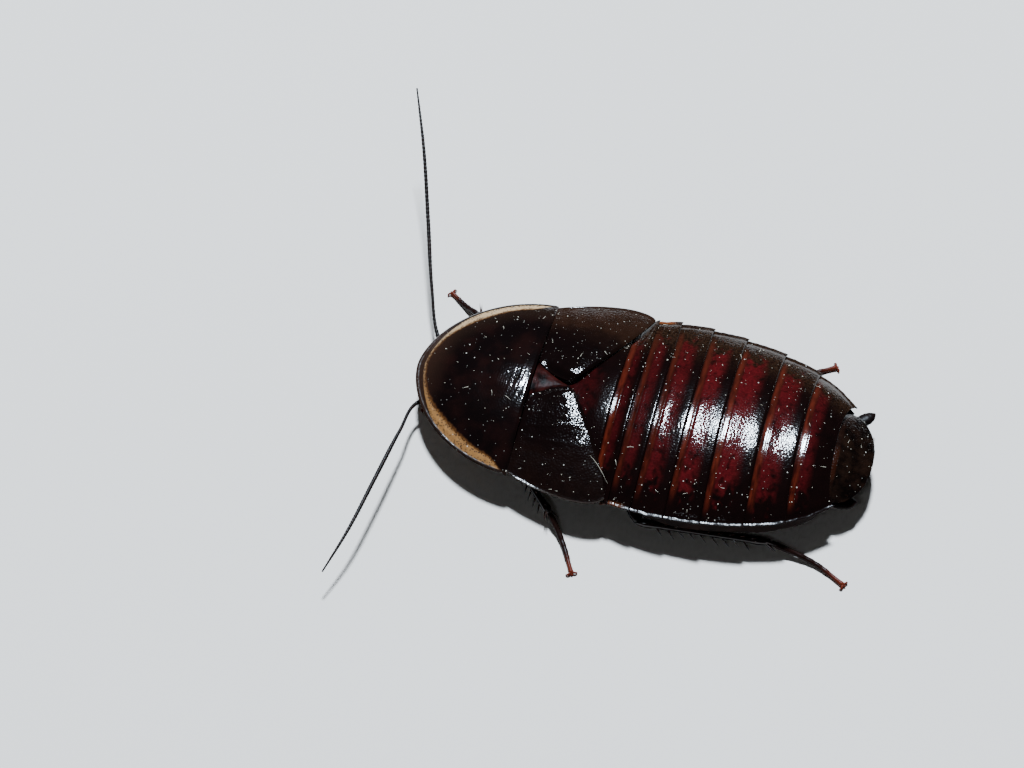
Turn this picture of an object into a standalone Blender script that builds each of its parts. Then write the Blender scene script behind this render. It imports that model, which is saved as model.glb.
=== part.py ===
"""A still, life-size Hemiblabera brunneri: a broad ground cockroach with short wing covers.

It is modelled in metres with +Z up. The head looks towards -X and the animal's left side is -Y.
It stands as it did in life, with its belly and its six feet on the plane Z = 0, and the origin is
on that plane, in the middle of the fifth belly plate. No two pieces touch: they keep a thin gap.

The sizes below are in millimetres. Along the body, x runs from the front edge of the pronotum
to the tip of the abdomen, y runs to the animal's right and z is the height above the floor.
"""
import math
import random

import bmesh
import bpy
import numpy as np
from mathutils import Matrix, Vector

MM = 0.001
BELLY_REST_X = 30.6
GAP = 0.3
UP = Vector((0.0, 0.0, 1.0))
REARWARDS = Vector((1.0, 0.0, 0.0))

# Sections of the body
EDGE_TOP = 3.5
EDGE_LOW = 3.0
DOME_POWER = 2.3
BELLY_POWER = 3.0
BACK_SPANS = 16
BELLY_SPANS = 11

# Pronotum
SHIELD_LENGTH = 11.1
SHIELD_HALF_WIDTH = 9.75
SHIELD_ARC = 11.6
SHIELD_TAPER = 1.75
SHIELD_RISE_LENGTH = 9.0
SHIELD_EDGE_TOP = 3.35
SHIELD_CREST = 5.8
SHIELD_THICKNESS = 0.5
SHIELD_MIDDLE = 6.6
SHIELD_RIM = 0.14
SHIELD_RINGS = (1.0, 0.965, 0.93, 0.88, 0.76, 0.6, 0.42, 0.22)
SHIELD_SIDE_SPANS = 16
SHIELD_REAR_SPANS = 10

# Thorax
THORAX_HALF_WIDTH = ((7.6, 4.6), (9.0, 5.6), (11.0, 7.6), (13.0, 8.3), (15.0, 8.8), (17.0, 9.3),
                     (19.0, 9.8), (20.6, 10.0))
THORAX_BACK = ((11.0, 4.6), (13.0, 4.8), (15.0, 4.95), (17.0, 5.15), (19.0, 5.5), (20.6, 5.85))
THORAX_EDGE_TOP = 2.8
THORAX_EDGE_LOW = 2.5
THORAX_BELLY = 2.45
PROTHORAX_SECTIONS = (7.6, 9.2)
PROTHORAX_REAR = 10.7
MESOTHORAX_REAR = 14.75
METATHORAX_REAR = 18.85
NECK_SHARE = 0.4
NECK_SECTIONS = ((Vector((0.0, 0.0, 0.0)), 1.5, 0.7), (Vector((1.1, 0.0, -0.1)), 2.6, 0.85))

# Scutellum, as (x, half width), its drop below the wing covers and its own crown
SCUTELLUM = ((11.4, 1.7), (12.2, 1.05), (13.0, 0.45), (13.5, 0.16))
SCUTELLUM_DROP = 0.12
SCUTELLUM_CROWN = 0.15
SCUTELLUM_ROOT = 4.4
SCUTELLUM_SPANS = 5

# Tegmina, the short leathery wing covers
TEGMEN_FRONT = 11.4
TEGMEN_THICKNESS = 0.5
TEGMEN_EDGE_TOP = 3.4
TEGMEN_BACK = ((11.2, 5.5), (13.0, 5.65), (15.0, 5.75), (17.0, 5.9), (21.0, 5.95))
TEGMEN_HALF_WIDTH = ((11.2, 9.6), (12.0, 9.75), (15.0, 10.65), (18.0, 11.15), (20.5, 11.1))
TEGMEN_INNER = ((11.4, 2.25), (12.6, 1.0), (13.8, 0.25), (15.0, 0.25))
TEGMEN_HIND = ((15.0, 0.25), (16.4, 4.6), (20.4, 7.4), (20.35, 10.2))
TEGMEN_OUTER = ((11.4, 9.5), (14.6, 11.0), (19.3, 11.7), (20.35, 10.2))
TEGMEN_VEIN_HEIGHT = 0.12
TEGMEN_VEIN_ROWS = (3, 5, 7)
TEGMEN_ACROSS = 10
TEGMEN_ALONG = 8

# Abdomen: the seams between the seven tergites, as (middle, how far the corners sweep back)
SEAMS = ((18.85, 0.0), (20.7, 0.0), (22.95, -0.15), (25.9, 0.0), (29.0, 0.2), (32.75, 0.3),
         (36.15, 0.45), (39.4, 1.0))
ABDOMEN_HALF_WIDTH = ((20.7, 10.5), (24.0, 10.8), (27.0, 10.7), (30.0, 10.35), (33.0, 9.7),
                      (36.0, 8.65), (38.5, 7.2), (40.5, 5.4))
ABDOMEN_BACK = ((20.7, 5.85), (24.0, 6.1), (27.0, 6.25), (30.0, 6.25), (33.0, 6.05), (36.0, 5.7),
                (39.4, 4.85))
ABDOMEN_BELLY = ((18.85, 2.45), (20.7, 2.4), (22.4, 2.25), (24.0, 1.6), (25.5, 0.7), (27.2, -0.3),
                 (34.0, -0.3), (36.5, 0.3), (39.4, 0.9))
SEAM_GAP = 0.36
SHINGLE_FRACTIONS = (0.0, 0.3, 0.65, 1.0)
SHINGLE_WIDTH = (-0.15, 0.12)
SHINGLE_HEIGHT = (-0.12, 0.08)
FACE_DISH = 0.9
LAST_FACE_DISH = 1.0

# Plates at the tip of the abdomen
SUPRA_ANAL = ((39.7, 4.75, 4.7), (40.7, 4.6, 4.3), (41.7, 3.75, 3.95), (42.4, 2.75, 3.65),
              (42.8, 1.75, 3.45), (43.0, 0.8, 3.35))
SUPRA_ANAL_EDGE = (3.2, 2.75)
SUPRA_ANAL_SWEEP = 0.75
SUBGENITAL = ((39.7, 3.4, 0.95), (40.6, 2.95, 1.1), (41.5, 2.4, 1.35), (42.1, 1.75, 1.6),
              (42.4, 0.9, 1.8))
SUBGENITAL_EDGE = (2.4, 2.0)
SUBGENITAL_SWEEP = 0.4
END_PLATE_SPANS = 10
CERCI = {
    "left": ((40.1, -4.2, 2.1), (40.8, -4.1, 2.12), (41.6, -3.95, 2.2), (42.3, -3.75, 2.3)),
    "right": ((40.1, 4.15, 2.1), (40.8, 4.7, 2.15), (41.5, 5.4, 2.25), (42.1, 6.05, 2.35)),
}
CERCUS_HALF_WIDTH = (0.34, 0.46, 0.38, 0.12)
CERCUS_HALF_HEIGHT = (0.26, 0.27, 0.25, 0.12)

# Head, which hangs below the front of the pronotum with the mouth behind
HEAD_CROWN = Vector((3.4, 0.0, 3.47))
HEAD_MOUTH = Vector((6.5, 0.0, 0.85))
HEAD_AXIS = (HEAD_MOUTH - HEAD_CROWN).normalized()
HEAD_FACE = Vector((HEAD_AXIS.z, 0.0, -HEAD_AXIS.x))
HEAD_RINGS = ((-0.06, 1.0, 0.55), (0.03, 1.75, 1.0), (0.14, 2.2, 1.22), (0.3, 2.4, 1.32),
              (0.46, 2.2, 1.28), (0.6, 1.85, 1.15), (0.74, 1.5, 0.95), (0.86, 1.2, 0.72))
HEAD_SQUARENESS = 2.5
HEAD_SIDES = 18
CLYPEUS_RINGS = ((0.6, 1.15, 0.3), (0.64, 1.25, 0.42), (0.74, 1.15, 0.46), (0.8, 1.02, 0.4))
CLYPEUS_FORWARD = 0.66
LABRUM_RINGS = ((0.76, 0.8, 0.36), (0.84, 0.92, 0.42), (0.94, 0.84, 0.36), (1.0, 0.62, 0.26),
                (1.03, 0.3, 0.14))
LABRUM_FORWARD = 0.5
MANDIBLE = ((0.74, 1.05, 0.0), (0.86, 1.08, 0.12), (0.97, 0.78, 0.16), (1.03, 0.3, 0.12))
MANDIBLE_RADIUS = (0.42, 0.46, 0.38, 0.14)
EYE_PLACE = Vector((3.95, 1.98, 2.72))
EYE_HALF_SIZES = Vector((0.62, 0.62, 0.98))
EYE_NOTCH_PLACE = Vector((3.5, 1.25, 2.15))
EYE_NOTCH_HALF_SIZES = Vector((0.42, 0.42, 0.42))
MAXILLARY_PALP = ((5.95, 2.0, 1.35), (5.45, 2.4, 1.0), (4.9, 2.5, 0.7), (4.35, 2.3, 0.48),
                  (4.0, 2.0, 0.42))
MAXILLARY_PALP_RADIUS = (0.26, 0.26, 0.25, 0.27, 0.2)
LABIAL_PALP = ((7.36, 0.78, 1.05), (7.35, 1.2, 0.65), (7.05, 1.5, 0.42), (6.65, 1.55, 0.36))
LABIAL_PALP_RADIUS = (0.25, 0.26, 0.26, 0.2)

# Antennae, from the face out to the tips
LEFT_ANTENNA = ((3.3, -1.15, 1.2), (2.3, -2.1, 1.75), (0.9, -3.7, 2.3), (0.42, -7.4, 3.0),
                (-0.22, -13.2, 3.4), (-1.12, -19.5, 3.2), (-2.1, -23.3, 2.6))
RIGHT_ANTENNA = ((3.3, 1.15, 1.2), (2.1, 2.4, 1.75), (0.6, 4.4, 2.25), (-1.0, 8.3, 3.6),
                 (-3.2, 14.8, 5.6), (-5.4, 21.2, 7.8), (-7.75, 27.1, 9.6))
ANTENNA_POINTS = 22
ANTENNA_RADIUS = ((0.0, 0.3), (0.045, 0.4), (0.075, 0.3), (0.1, 0.34), (0.13, 0.28), (0.6, 0.25),
                  (1.0, 0.1))

# Legs: the six stances, as the joints from the root of the coxa to the claws
LEG_JOINTS = {
    "front_left": ((7.3, -2.7, 1.65), (10.4, -1.6, 1.4), (11.2, -2.6, 1.35), (6.6, -6.3, 1.7),
                   (3.7, -3.4, 1.0), (2.6, -2.9, 0.26), (1.3, -2.6, 0.2)),
    "front_right": ((7.3, 2.7, 1.65), (10.4, 1.6, 1.4), (11.2, 2.6, 1.35), (6.9, 6.2, 1.7),
                    (3.4, 8.5, 1.0), (1.9, 9.6, 0.3), (0.2, 10.85, 0.2)),
    "mid_left": ((11.7, -4.9, 1.65), (14.9, -2.1, 1.4), (15.8, -3.1, 1.35), (12.1, -7.8, 1.75),
                 (15.6, -11.3, 1.2), (17.2, -13.2, 0.35), (19.0, -16.4, 0.2)),
    "mid_right": ((11.7, 4.9, 1.65), (14.9, 2.1, 1.4), (15.8, 3.1, 1.35), (12.1, 7.8, 1.75),
                  (16.3, 10.3, 1.1), (18.0, 11.1, 0.3), (20.4, 11.8, 0.2)),
    "hind_left": ((16.6, -5.3, 1.65), (19.4, -2.2, 1.4), (20.3, -3.2, 1.35), (23.6, -10.4, 1.55),
                  (35.6, -9.1, 1.05), (40.1, -9.9, 0.3), (42.8, -11.3, 0.2)),
    "hind_right": ((16.6, 5.3, 1.65), (19.4, 2.2, 1.4), (20.3, 3.2, 1.35), (21.6, 10.7, 1.55),
                   (32.4, 8.8, 1.05), (35.2, 10.3, 0.3), (37.7, 11.85, 0.2)),
}
LIMB_POINTS = 6
LIMB_SIDES = 8
COXA_HALF_WIDTH = ((0.0, 0.7), (0.35, 0.9), (0.7, 0.75), (1.0, 0.45))
COXA_HALF_HEIGHT = ((0.0, 0.42), (0.5, 0.45), (1.0, 0.38))
TROCHANTER_LENGTH = 0.35
TROCHANTER_HALF_WIDTHS = (0.36, 0.4)
TROCHANTER_HALF_HEIGHTS = (0.36, 0.38)
FEMUR_HALF_WIDTH = {"front": 0.72, "mid": 0.74, "hind": 0.9}
FEMUR_HALF_HEIGHT = 0.44
FEMUR_SWELL = ((0.0, 0.62), (0.2, 0.7), (0.45, 1.0), (0.75, 0.9), (1.0, 0.56))
FEMUR_FIRST_RING = 1.3
TIBIA_RADIUS = ((0.0, 0.42), (0.15, 0.34), (0.8, 0.33), (1.0, 0.38))
TARSUS_RADIUS = ((0.0, 0.25), (0.4, 0.26), (0.43, 0.22), (0.54, 0.27), (0.57, 0.22), (0.66, 0.27),
                 (0.69, 0.22), (0.76, 0.26), (0.8, 0.22), (1.0, 0.29))
TARSUS_POINTS = 12
ROUND_LIMB_SIDES = 7
CLAW_LENGTH = 0.62
CLAW_SPREAD = 48.0
CLAW_RADII = (0.2, 0.15, 0.05)
CLAW_ROOT = 0.22

# Spines of the tibiae: rows as (outwards, upwards, how far along the first one is moved)
SPINE_ROWS = {"front": 3, "mid": 4, "hind": 7}
SPINE_LINES = ((1.0, -0.2, 0.0), (-0.6, -0.9, 0.45))
SPINE_FIRST = 0.16
SPINE_REACH = 0.7
SPINE_LENGTH = 1.15
SPINE_VARIATION = 0.15
SPINE_RADIUS = 0.2
SPINE_TILT = 52.0
SPINE_ROOT = 0.18
SPUR_TURNS = (-65, 60, -125)
SPUR_ROOT = 0.55
SPUR_TILT = 40.0

# Colours, as linear RGB, with roughness
FINISHES = {
    "plate": ((0.012, 0.006, 0.005), 0.22),
    "tergite": ((0.05, 0.008, 0.006), 0.25),
    "tegmen": ((0.02, 0.011, 0.006), 0.4),
    "limb": ((0.018, 0.007, 0.004), 0.3),
    "foot": ((0.07, 0.018, 0.008), 0.4),
    "eye": ((0.006, 0.005, 0.005), 0.15),
}


def clear_scene():
    for item in list(bpy.data.objects):
        bpy.data.objects.remove(item, do_unlink=True)


def part_collection():
    collection = bpy.data.collections.new("hemiblabera_brunneri")
    bpy.context.scene.collection.children.link(collection)
    return collection


def finish_material(name, finish):
    colour, roughness = FINISHES[finish]
    material = bpy.data.materials.new(name + "_finish")
    material.use_nodes = True
    shader = material.node_tree.nodes["Principled BSDF"]
    shader.inputs["Base Color"].default_value = (*colour, 1.0)
    shader.inputs["Roughness"].default_value = roughness
    shader.inputs["Metallic"].default_value = 0.0
    return material


def place(point):
    """Turns a point in millimetres along the body into the part's own frame in metres."""
    return Vector(((point[0] - BELLY_REST_X) * MM, point[1] * MM, point[2] * MM))


def curve_through(stations):
    """A smooth function through (place, value) stations, level beyond both ends."""
    places, values = np.array(stations, dtype=float).T
    slopes = np.gradient(values, places)

    def value(x):
        x = min(max(x, places[0]), places[-1])
        k = min(int(np.searchsorted(places, x, side="right")) - 1, len(places) - 2)
        span = places[k + 1] - places[k]
        t = (x - places[k]) / span
        start = values[k] * (2 * t ** 3 - 3 * t ** 2 + 1) + slopes[k] * span * (t ** 3 - 2 * t ** 2 + t)
        end = values[k + 1] * (3 * t ** 2 - 2 * t ** 3) + slopes[k + 1] * span * (t ** 3 - t ** 2)
        return float(start + end)

    return value


def path_through(points, count):
    """Evenly spaced points on one smooth curve through the named points."""
    points = [Vector(p) for p in points]
    lengths = [0.0]
    for before, after in zip(points, points[1:]):
        lengths.append(lengths[-1] + (after - before).length)
    axes = [curve_through([(s, p[k]) for s, p in zip(lengths, points)]) for k in range(3)]
    stops = [lengths[-1] * i / (count - 1) for i in range(count)]
    return [Vector([axis(s) for axis in axes]) for s in stops]


def bezier(ends_and_handles, t):
    a, b, c, d = (Vector(p) for p in ends_and_handles)
    return (1 - t) ** 3 * a + 3 * t * (1 - t) ** 2 * b + 3 * t ** 2 * (1 - t) * c + t ** 3 * d


def new_object(name, mesh, finish, collection):
    item = bpy.data.objects.new(name, mesh)
    collection.objects.link(item)
    mesh.materials.clear()
    mesh.materials.append(finish_material(name, finish))
    mesh.shade_smooth()
    mesh.set_sharp_from_angle(angle=math.radians(40))
    return item


def mesh_from(bm, name):
    bmesh.ops.recalc_face_normals(bm, faces=bm.faces)
    mesh = bpy.data.meshes.new(name)
    bm.to_mesh(mesh)
    bm.free()
    return mesh


def loft(name, rings, middles):
    """A closed solid through rings of equal count, with a fan to a middle point at each end."""
    bm = bmesh.new()
    rows = [[bm.verts.new(place(p)) for p in ring] for ring in rings]
    count = len(rings[0])
    for row, after in zip(rows, rows[1:]):
        for i in range(count):
            j = (i + 1) % count
            bm.faces.new((row[i], row[j], after[j], after[i]))
    for row, middle in ((rows[0], middles[0]), (rows[-1], middles[1])):
        tip = bm.verts.new(place(middle))
        for i in range(count):
            bm.faces.new((row[i], row[(i + 1) % count], tip))
    bmesh.ops.triangulate(bm, faces=[f for f in bm.faces if len(f.verts) > 3])
    return mesh_from(bm, name)


def centre(ring):
    return sum((Vector(p) for p in ring), Vector()) / len(ring)


def apply_modifiers(item):
    """Replaces the object's mesh by its evaluated one, with no modifiers left."""
    bpy.context.view_layer.update()
    evaluated = item.evaluated_get(bpy.context.evaluated_depsgraph_get())
    mesh = bpy.data.meshes.new_from_object(evaluated)
    item.modifiers.clear()
    item.data = mesh
    return mesh


def keep_largest_surface(mesh):
    bm = bmesh.new()
    bm.from_mesh(mesh)
    bm.faces.ensure_lookup_table()
    unseen = set(bm.faces)
    islands = []
    while unseen:
        island = {unseen.pop()}
        waiting = list(island)
        while waiting:
            face = waiting.pop()
            for edge in face.edges:
                for other in edge.link_faces:
                    if other in unseen:
                        unseen.discard(other)
                        island.add(other)
                        waiting.append(other)
        islands.append(island)
    largest = max(islands, key=lambda faces: sum(f.calc_area() for f in faces))
    spare = [f for island in islands if island is not largest for f in island]
    bmesh.ops.delete(bm, geom=spare, context="FACES")
    bm.to_mesh(mesh)
    bm.free()


def fuse(core, pieces):
    """Joins closed meshes into the core object as one closed body."""
    group = bpy.data.collections.new(core.name + "_pieces")
    bpy.context.scene.collection.children.link(group)
    for number, mesh in enumerate(pieces):
        group.objects.link(bpy.data.objects.new(f"{core.name}_piece_{number}", mesh))
    join = core.modifiers.new("join", "BOOLEAN")
    join.operation = "UNION"
    join.operand_type = "COLLECTION"
    join.collection = group
    join.solver = "EXACT"
    apply_modifiers(core)
    for item in list(group.objects):
        bpy.data.objects.remove(item, do_unlink=True)
    bpy.data.collections.remove(group)
    keep_largest_surface(core.data)


def carve(core, cutter_mesh, cutters):
    """Cuts one closed shape out of the core object."""
    cutter = bpy.data.objects.new(core.name + "_cutter", cutter_mesh)
    cutters.objects.link(cutter)
    cutter.hide_render = True
    cutter.display_type = "WIRE"
    cut = core.modifiers.new("cut", "BOOLEAN")
    cut.operation = "DIFFERENCE"
    cut.object = cutter
    cut.solver = "EXACT"
    apply_modifiers(core)
    bpy.data.objects.remove(cutter, do_unlink=True)
    keep_largest_surface(core.data)


def body_ring(x, sweep, half_width, back, belly, edges):
    """One section of the body: a low dome above, a boat-shaped belly below, thin edges."""
    top, low = edges
    ring = []
    for i in range(BACK_SPANS + 1):
        t = math.sin((2 * i / BACK_SPANS - 1) * math.radians(72)) / math.sin(math.radians(72))
        z = top + (back - top) * (1 - abs(t) ** DOME_POWER)
        ring.append((x + sweep * abs(t) ** 3, half_width * t, z))
    for i in range(BELLY_SPANS + 1):
        t = 1 - 2 * i / BELLY_SPANS
        z = max(0.0, low - (low - belly) * (1 - abs(t) ** BELLY_POWER))
        ring.append((x + sweep * abs(t) ** 3, half_width * t, z))
    return ring


def body_segment(name, rings, dish_front, dish_rear):
    front = centre(rings[0]) - Vector((dish_front, 0, 0))
    rear = centre(rings[-1]) - Vector((dish_rear, 0, 0))
    return loft(name, rings, (front, rear))


def shield_outline():
    """The edge of the pronotum: a long arc round the front and sides, and a straight hind margin."""
    end = math.acos(1 - SHIELD_LENGTH / SHIELD_ARC)
    side = []
    for i in range(1, SHIELD_SIDE_SPANS + 1):
        turn = end * i / SHIELD_SIDE_SPANS
        x = SHIELD_ARC * (1 - math.cos(turn))
        side.append((x, SHIELD_HALF_WIDTH * math.sin(turn) ** (2 / SHIELD_TAPER)))
    rear = []
    for i in range(1, SHIELD_REAR_SPANS):
        y = side[-1][1] * (1 - 2 * i / SHIELD_REAR_SPANS)
        rear.append((SHIELD_LENGTH, y))
    return [(0.0, 0.0)] + side + rear + [(x, -y) for x, y in reversed(side)]


def shield_half_width(x):
    across = 1 - ((SHIELD_ARC - x) / SHIELD_ARC) ** 2
    return SHIELD_HALF_WIDTH * max(across, 0.0) ** (1 / SHIELD_TAPER)


def shield_top(x, y):
    """Height of the pronotum's upper face."""
    rise = 1 - max(0.0, 1 - x / SHIELD_RISE_LENGTH) ** 2
    t = min(1.0, abs(y) / max(shield_half_width(x), 0.01))
    return SHIELD_EDGE_TOP + (SHIELD_CREST - SHIELD_EDGE_TOP) * rise * (1 - t ** DOME_POWER)


def rim_height(share, x):
    """The thick rim of the front and side edge and the shallow gutter inside it."""
    fade = min(1.0, max(0.0, (SHIELD_LENGTH - x) / 1.5))
    if share > 0.95:
        return SHIELD_RIM * fade
    return -0.5 * SHIELD_RIM * fade if share > 0.9 else 0.0


def make_pronotum(collection):
    bm = bmesh.new()
    middle = Vector((SHIELD_MIDDLE, 0.0))
    rows = []
    for share in SHIELD_RINGS:
        row = []
        for x, y in shield_outline():
            p = middle + (Vector((x, y)) - middle) * share
            z = shield_top(p.x, p.y) + rim_height(share, x)
            row.append(bm.verts.new(place((p.x, p.y, z))))
        rows.append(row)
    top = bm.verts.new(place((middle.x, 0.0, shield_top(middle.x, 0.0))))
    count = len(rows[0])
    for i in range(count):
        j = (i + 1) % count
        for row, inner in zip(rows, rows[1:]):
            bm.faces.new((row[i], row[j], inner[j], inner[i]))
        bm.faces.new((rows[-1][i], rows[-1][j], top))
    bmesh.ops.triangulate(bm, faces=bm.faces[:])
    thicken_downwards("pronotum", bm, SHIELD_THICKNESS, "plate", collection)


def thicken_downwards(name, bm, thickness, finish, collection):
    """Makes an object of an open surface whose wall grows below it."""
    bmesh.ops.recalc_face_normals(bm, faces=bm.faces)
    if sum(f.normal.z for f in bm.faces) < 0:
        bmesh.ops.reverse_faces(bm, faces=bm.faces)
    mesh = bpy.data.meshes.new(name)
    bm.to_mesh(mesh)
    bm.free()
    item = new_object(name, mesh, finish, collection)
    wall = item.modifiers.new("wall", "SOLIDIFY")
    wall.thickness = thickness * MM
    wall.offset = -1.0
    return item


def make_prothorax(collection):
    """The body below the pronotum, with the neck that reaches the back of the head."""
    neck = head_point(NECK_SHARE, -(HEAD_RINGS[3][2] + GAP))
    rings = []
    points = BACK_SPANS + BELLY_SPANS + 2
    for offset, half_width, half_height in NECK_SECTIONS:
        ring = []
        for i in range(points):
            turn = math.pi - 2 * math.pi * (i + 0.5) / points
            ring.append(neck + offset + Vector((0, half_width * math.cos(turn), 0))
                        - HEAD_AXIS * half_height * math.sin(turn))
        rings.append(ring)
    width = curve_through(THORAX_HALF_WIDTH)
    for x in (*PROTHORAX_SECTIONS, PROTHORAX_REAR - GAP / 2):
        ceiling = shield_top(x, 0) - SHIELD_THICKNESS - 1.2 * GAP
        edges = (THORAX_EDGE_TOP + 0.3, THORAX_EDGE_LOW)
        rings.append(body_ring(x, 0, width(x), ceiling, THORAX_BELLY, edges))
    mesh = loft("prothorax", rings, (centre(rings[0]), centre(rings[-1])))
    new_object("prothorax", mesh, "limb", collection)


def thorax_rings(front, rear):
    width = curve_through(THORAX_HALF_WIDTH)
    back = curve_through(THORAX_BACK)
    rings = []
    for share in (0.0, 0.35, 0.7, 1.0):
        x = front + GAP / 2 + (rear - front - GAP) * share
        edges = (THORAX_EDGE_TOP, THORAX_EDGE_LOW)
        rings.append(body_ring(x, 0, width(x), back(x), THORAX_BELLY, edges))
    return rings


def tegmen_top(x, y):
    """Height of the upper face of the wing covers."""
    half_width = curve_through(TEGMEN_HALF_WIDTH)(x)
    back = curve_through(TEGMEN_BACK)(x)
    t = min(1.0, abs(y) / half_width)
    return TEGMEN_EDGE_TOP + (back - TEGMEN_EDGE_TOP) * (1 - t ** DOME_POWER)


def scutellum():
    """The small triangle between the roots of the wing covers."""
    rings = []
    for x, half_width in SCUTELLUM:
        top = tegmen_top(x, 0) - SCUTELLUM_DROP
        ring = []
        for i in range(SCUTELLUM_SPANS + 1):
            t = 1 - 2 * i / SCUTELLUM_SPANS
            ring.append((x, half_width * t, top - SCUTELLUM_CROWN * t ** 2))
        ring.append((x, -half_width, SCUTELLUM_ROOT))
        ring.append((x, half_width, SCUTELLUM_ROOT))
        rings.append(ring)
    return loft("scutellum", rings, (centre(rings[0]), centre(rings[-1])))


def make_thorax(collection):
    rings = thorax_rings(PROTHORAX_REAR, MESOTHORAX_REAR)
    mesothorax = new_object("mesothorax", body_segment("mesothorax", rings, 0, FACE_DISH / 2),
                            "limb", collection)
    fuse(mesothorax, [scutellum()])
    rings = thorax_rings(MESOTHORAX_REAR, METATHORAX_REAR)
    mesh = body_segment("metathorax", rings, FACE_DISH / 2, FACE_DISH / 2)
    new_object("metathorax", mesh, "tergite", collection)


def tegmen_point(u, v):
    """A point of the right wing cover: u runs from its inner to its outer edge, v rearwards."""
    front = Vector(TEGMEN_INNER[0]).lerp(Vector(TEGMEN_OUTER[0]), u)
    hind = bezier(TEGMEN_HIND, u)
    inner = bezier(TEGMEN_INNER, v)
    outer = bezier(TEGMEN_OUTER, v)
    corners = (Vector(TEGMEN_INNER[0]) * (1 - u) * (1 - v) + Vector(TEGMEN_OUTER[0]) * u * (1 - v)
               + Vector(TEGMEN_INNER[-1]) * (1 - u) * v + Vector(TEGMEN_OUTER[-1]) * u * v)
    return front * (1 - v) + hind * v + inner * (1 - u) + outer * u - corners


def make_tegmen(side, sign, collection):
    bm = bmesh.new()
    rows = []
    for i in range(TEGMEN_ACROSS + 1):
        row = []
        for j in range(TEGMEN_ALONG + 1):
            p = tegmen_point(i / TEGMEN_ACROSS, j / TEGMEN_ALONG)
            vein = TEGMEN_VEIN_HEIGHT if i in TEGMEN_VEIN_ROWS and 0 < j < TEGMEN_ALONG else 0.0
            row.append(bm.verts.new(place((p.x, sign * p.y, tegmen_top(p.x, p.y) + vein))))
        rows.append(row)
    for row, after in zip(rows, rows[1:]):
        for j in range(TEGMEN_ALONG):
            bm.faces.new((row[j], row[j + 1], after[j + 1], after[j]))
    bmesh.ops.triangulate(bm, faces=bm.faces[:])
    thicken_downwards(f"tegmen_{side}", bm, TEGMEN_THICKNESS, "tegmen", collection)


def make_abdomen(collection):
    width = curve_through(ABDOMEN_HALF_WIDTH)
    back = curve_through(ABDOMEN_BACK)
    belly = curve_through(ABDOMEN_BELLY)
    thorax_width = curve_through(THORAX_HALF_WIDTH)
    thorax_back = curve_through(THORAX_BACK)
    for number, (front, rear) in enumerate(zip(SEAMS, SEAMS[1:]), start=1):
        rings = []
        for share in SHINGLE_FRACTIONS:
            x = front[0] + SEAM_GAP / 2 + (rear[0] - front[0] - SEAM_GAP) * share
            sweep = front[1] + (rear[1] - front[1]) * share
            grow = SHINGLE_WIDTH[0] + (SHINGLE_WIDTH[1] - SHINGLE_WIDTH[0]) * share
            lift = SHINGLE_HEIGHT[0] + (SHINGLE_HEIGHT[1] - SHINGLE_HEIGHT[0]) * share
            if number == 1:
                ring = body_ring(x, sweep, thorax_width(x), thorax_back(x), belly(x),
                                 (THORAX_EDGE_TOP, THORAX_EDGE_LOW))
            else:
                ring = body_ring(x, sweep, width(x + sweep) + grow, back(x) + lift, belly(x),
                                 (EDGE_TOP, EDGE_LOW))
            rings.append(ring)
        name = f"abdomen_segment_{number}"
        dish_front = FACE_DISH / 2 if number == 1 else FACE_DISH
        dish_rear = FACE_DISH if number < 7 else LAST_FACE_DISH
        new_object(name, body_segment(name, rings, dish_front, dish_rear), "tergite", collection)


def end_plate_ring(x, half_width, middle, edges, sweep):
    """A section of a flat plate: middle and edges are (upper height, lower height)."""
    ring = []
    for i in range(END_PLATE_SPANS + 1):
        t = 2 * i / END_PLATE_SPANS - 1
        z = edges[0] + (middle[0] - edges[0]) * (1 - t ** 2)
        ring.append((x + sweep * abs(t) ** 3, half_width * t, z))
    for i in range(END_PLATE_SPANS + 1):
        t = 1 - 2 * i / END_PLATE_SPANS
        z = edges[1] + (middle[1] - edges[1]) * (1 - t ** 4)
        ring.append((x + sweep * abs(t) ** 3, half_width * t, z))
    return ring


def end_plate(name, sections, edges, sweep, collection):
    """A plate at the tip of the abdomen, whose sides sweep back less towards its own tip."""
    first, last = sections[0][0], sections[-1][0]
    rings = []
    for x, half_width, top, low in sections:
        fading_sweep = sweep * (last - x) / (last - first)
        rings.append(end_plate_ring(x, half_width, (top, low), edges, fading_sweep))
    mesh = loft(name, rings, (centre(rings[0]), centre(rings[-1])))
    new_object(name, mesh, "plate", collection)


def make_end_plates(collection):
    upper = [(x, half_width, top, SUPRA_ANAL_EDGE[1]) for x, half_width, top in SUPRA_ANAL]
    end_plate("supra_anal_plate", upper, SUPRA_ANAL_EDGE, SUPRA_ANAL_SWEEP, collection)
    lower = [(x, half_width, SUBGENITAL_EDGE[0], low) for x, half_width, low in SUBGENITAL]
    end_plate("subgenital_plate", lower, SUBGENITAL_EDGE, SUBGENITAL_SWEEP, collection)


def limb_rings(path, half_widths, half_heights, sides, start_normal=None, end_normal=None, floor=False):
    """Flattened rings along a path, wide across it, with both ends cut by the planes given."""
    rings = []
    for i, point in enumerate(path):
        along = (path[min(i + 1, len(path) - 1)] - path[max(i - 1, 0)]).normalized()
        across = UP.cross(along).normalized()
        up = along.cross(across)
        ring = []
        for k in range(sides):
            turn = 2 * math.pi * (k + 0.5) / sides
            p = point + across * half_widths[i] * math.cos(turn) + up * half_heights[i] * math.sin(turn)
            normal = start_normal if i == 0 else end_normal if i == len(path) - 1 else None
            if normal is not None:
                p = p - along * ((p - point).dot(normal) / along.dot(normal))
            if floor:
                p.z = max(p.z, 0.0)
            ring.append(p)
        rings.append(ring)
    return rings


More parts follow.
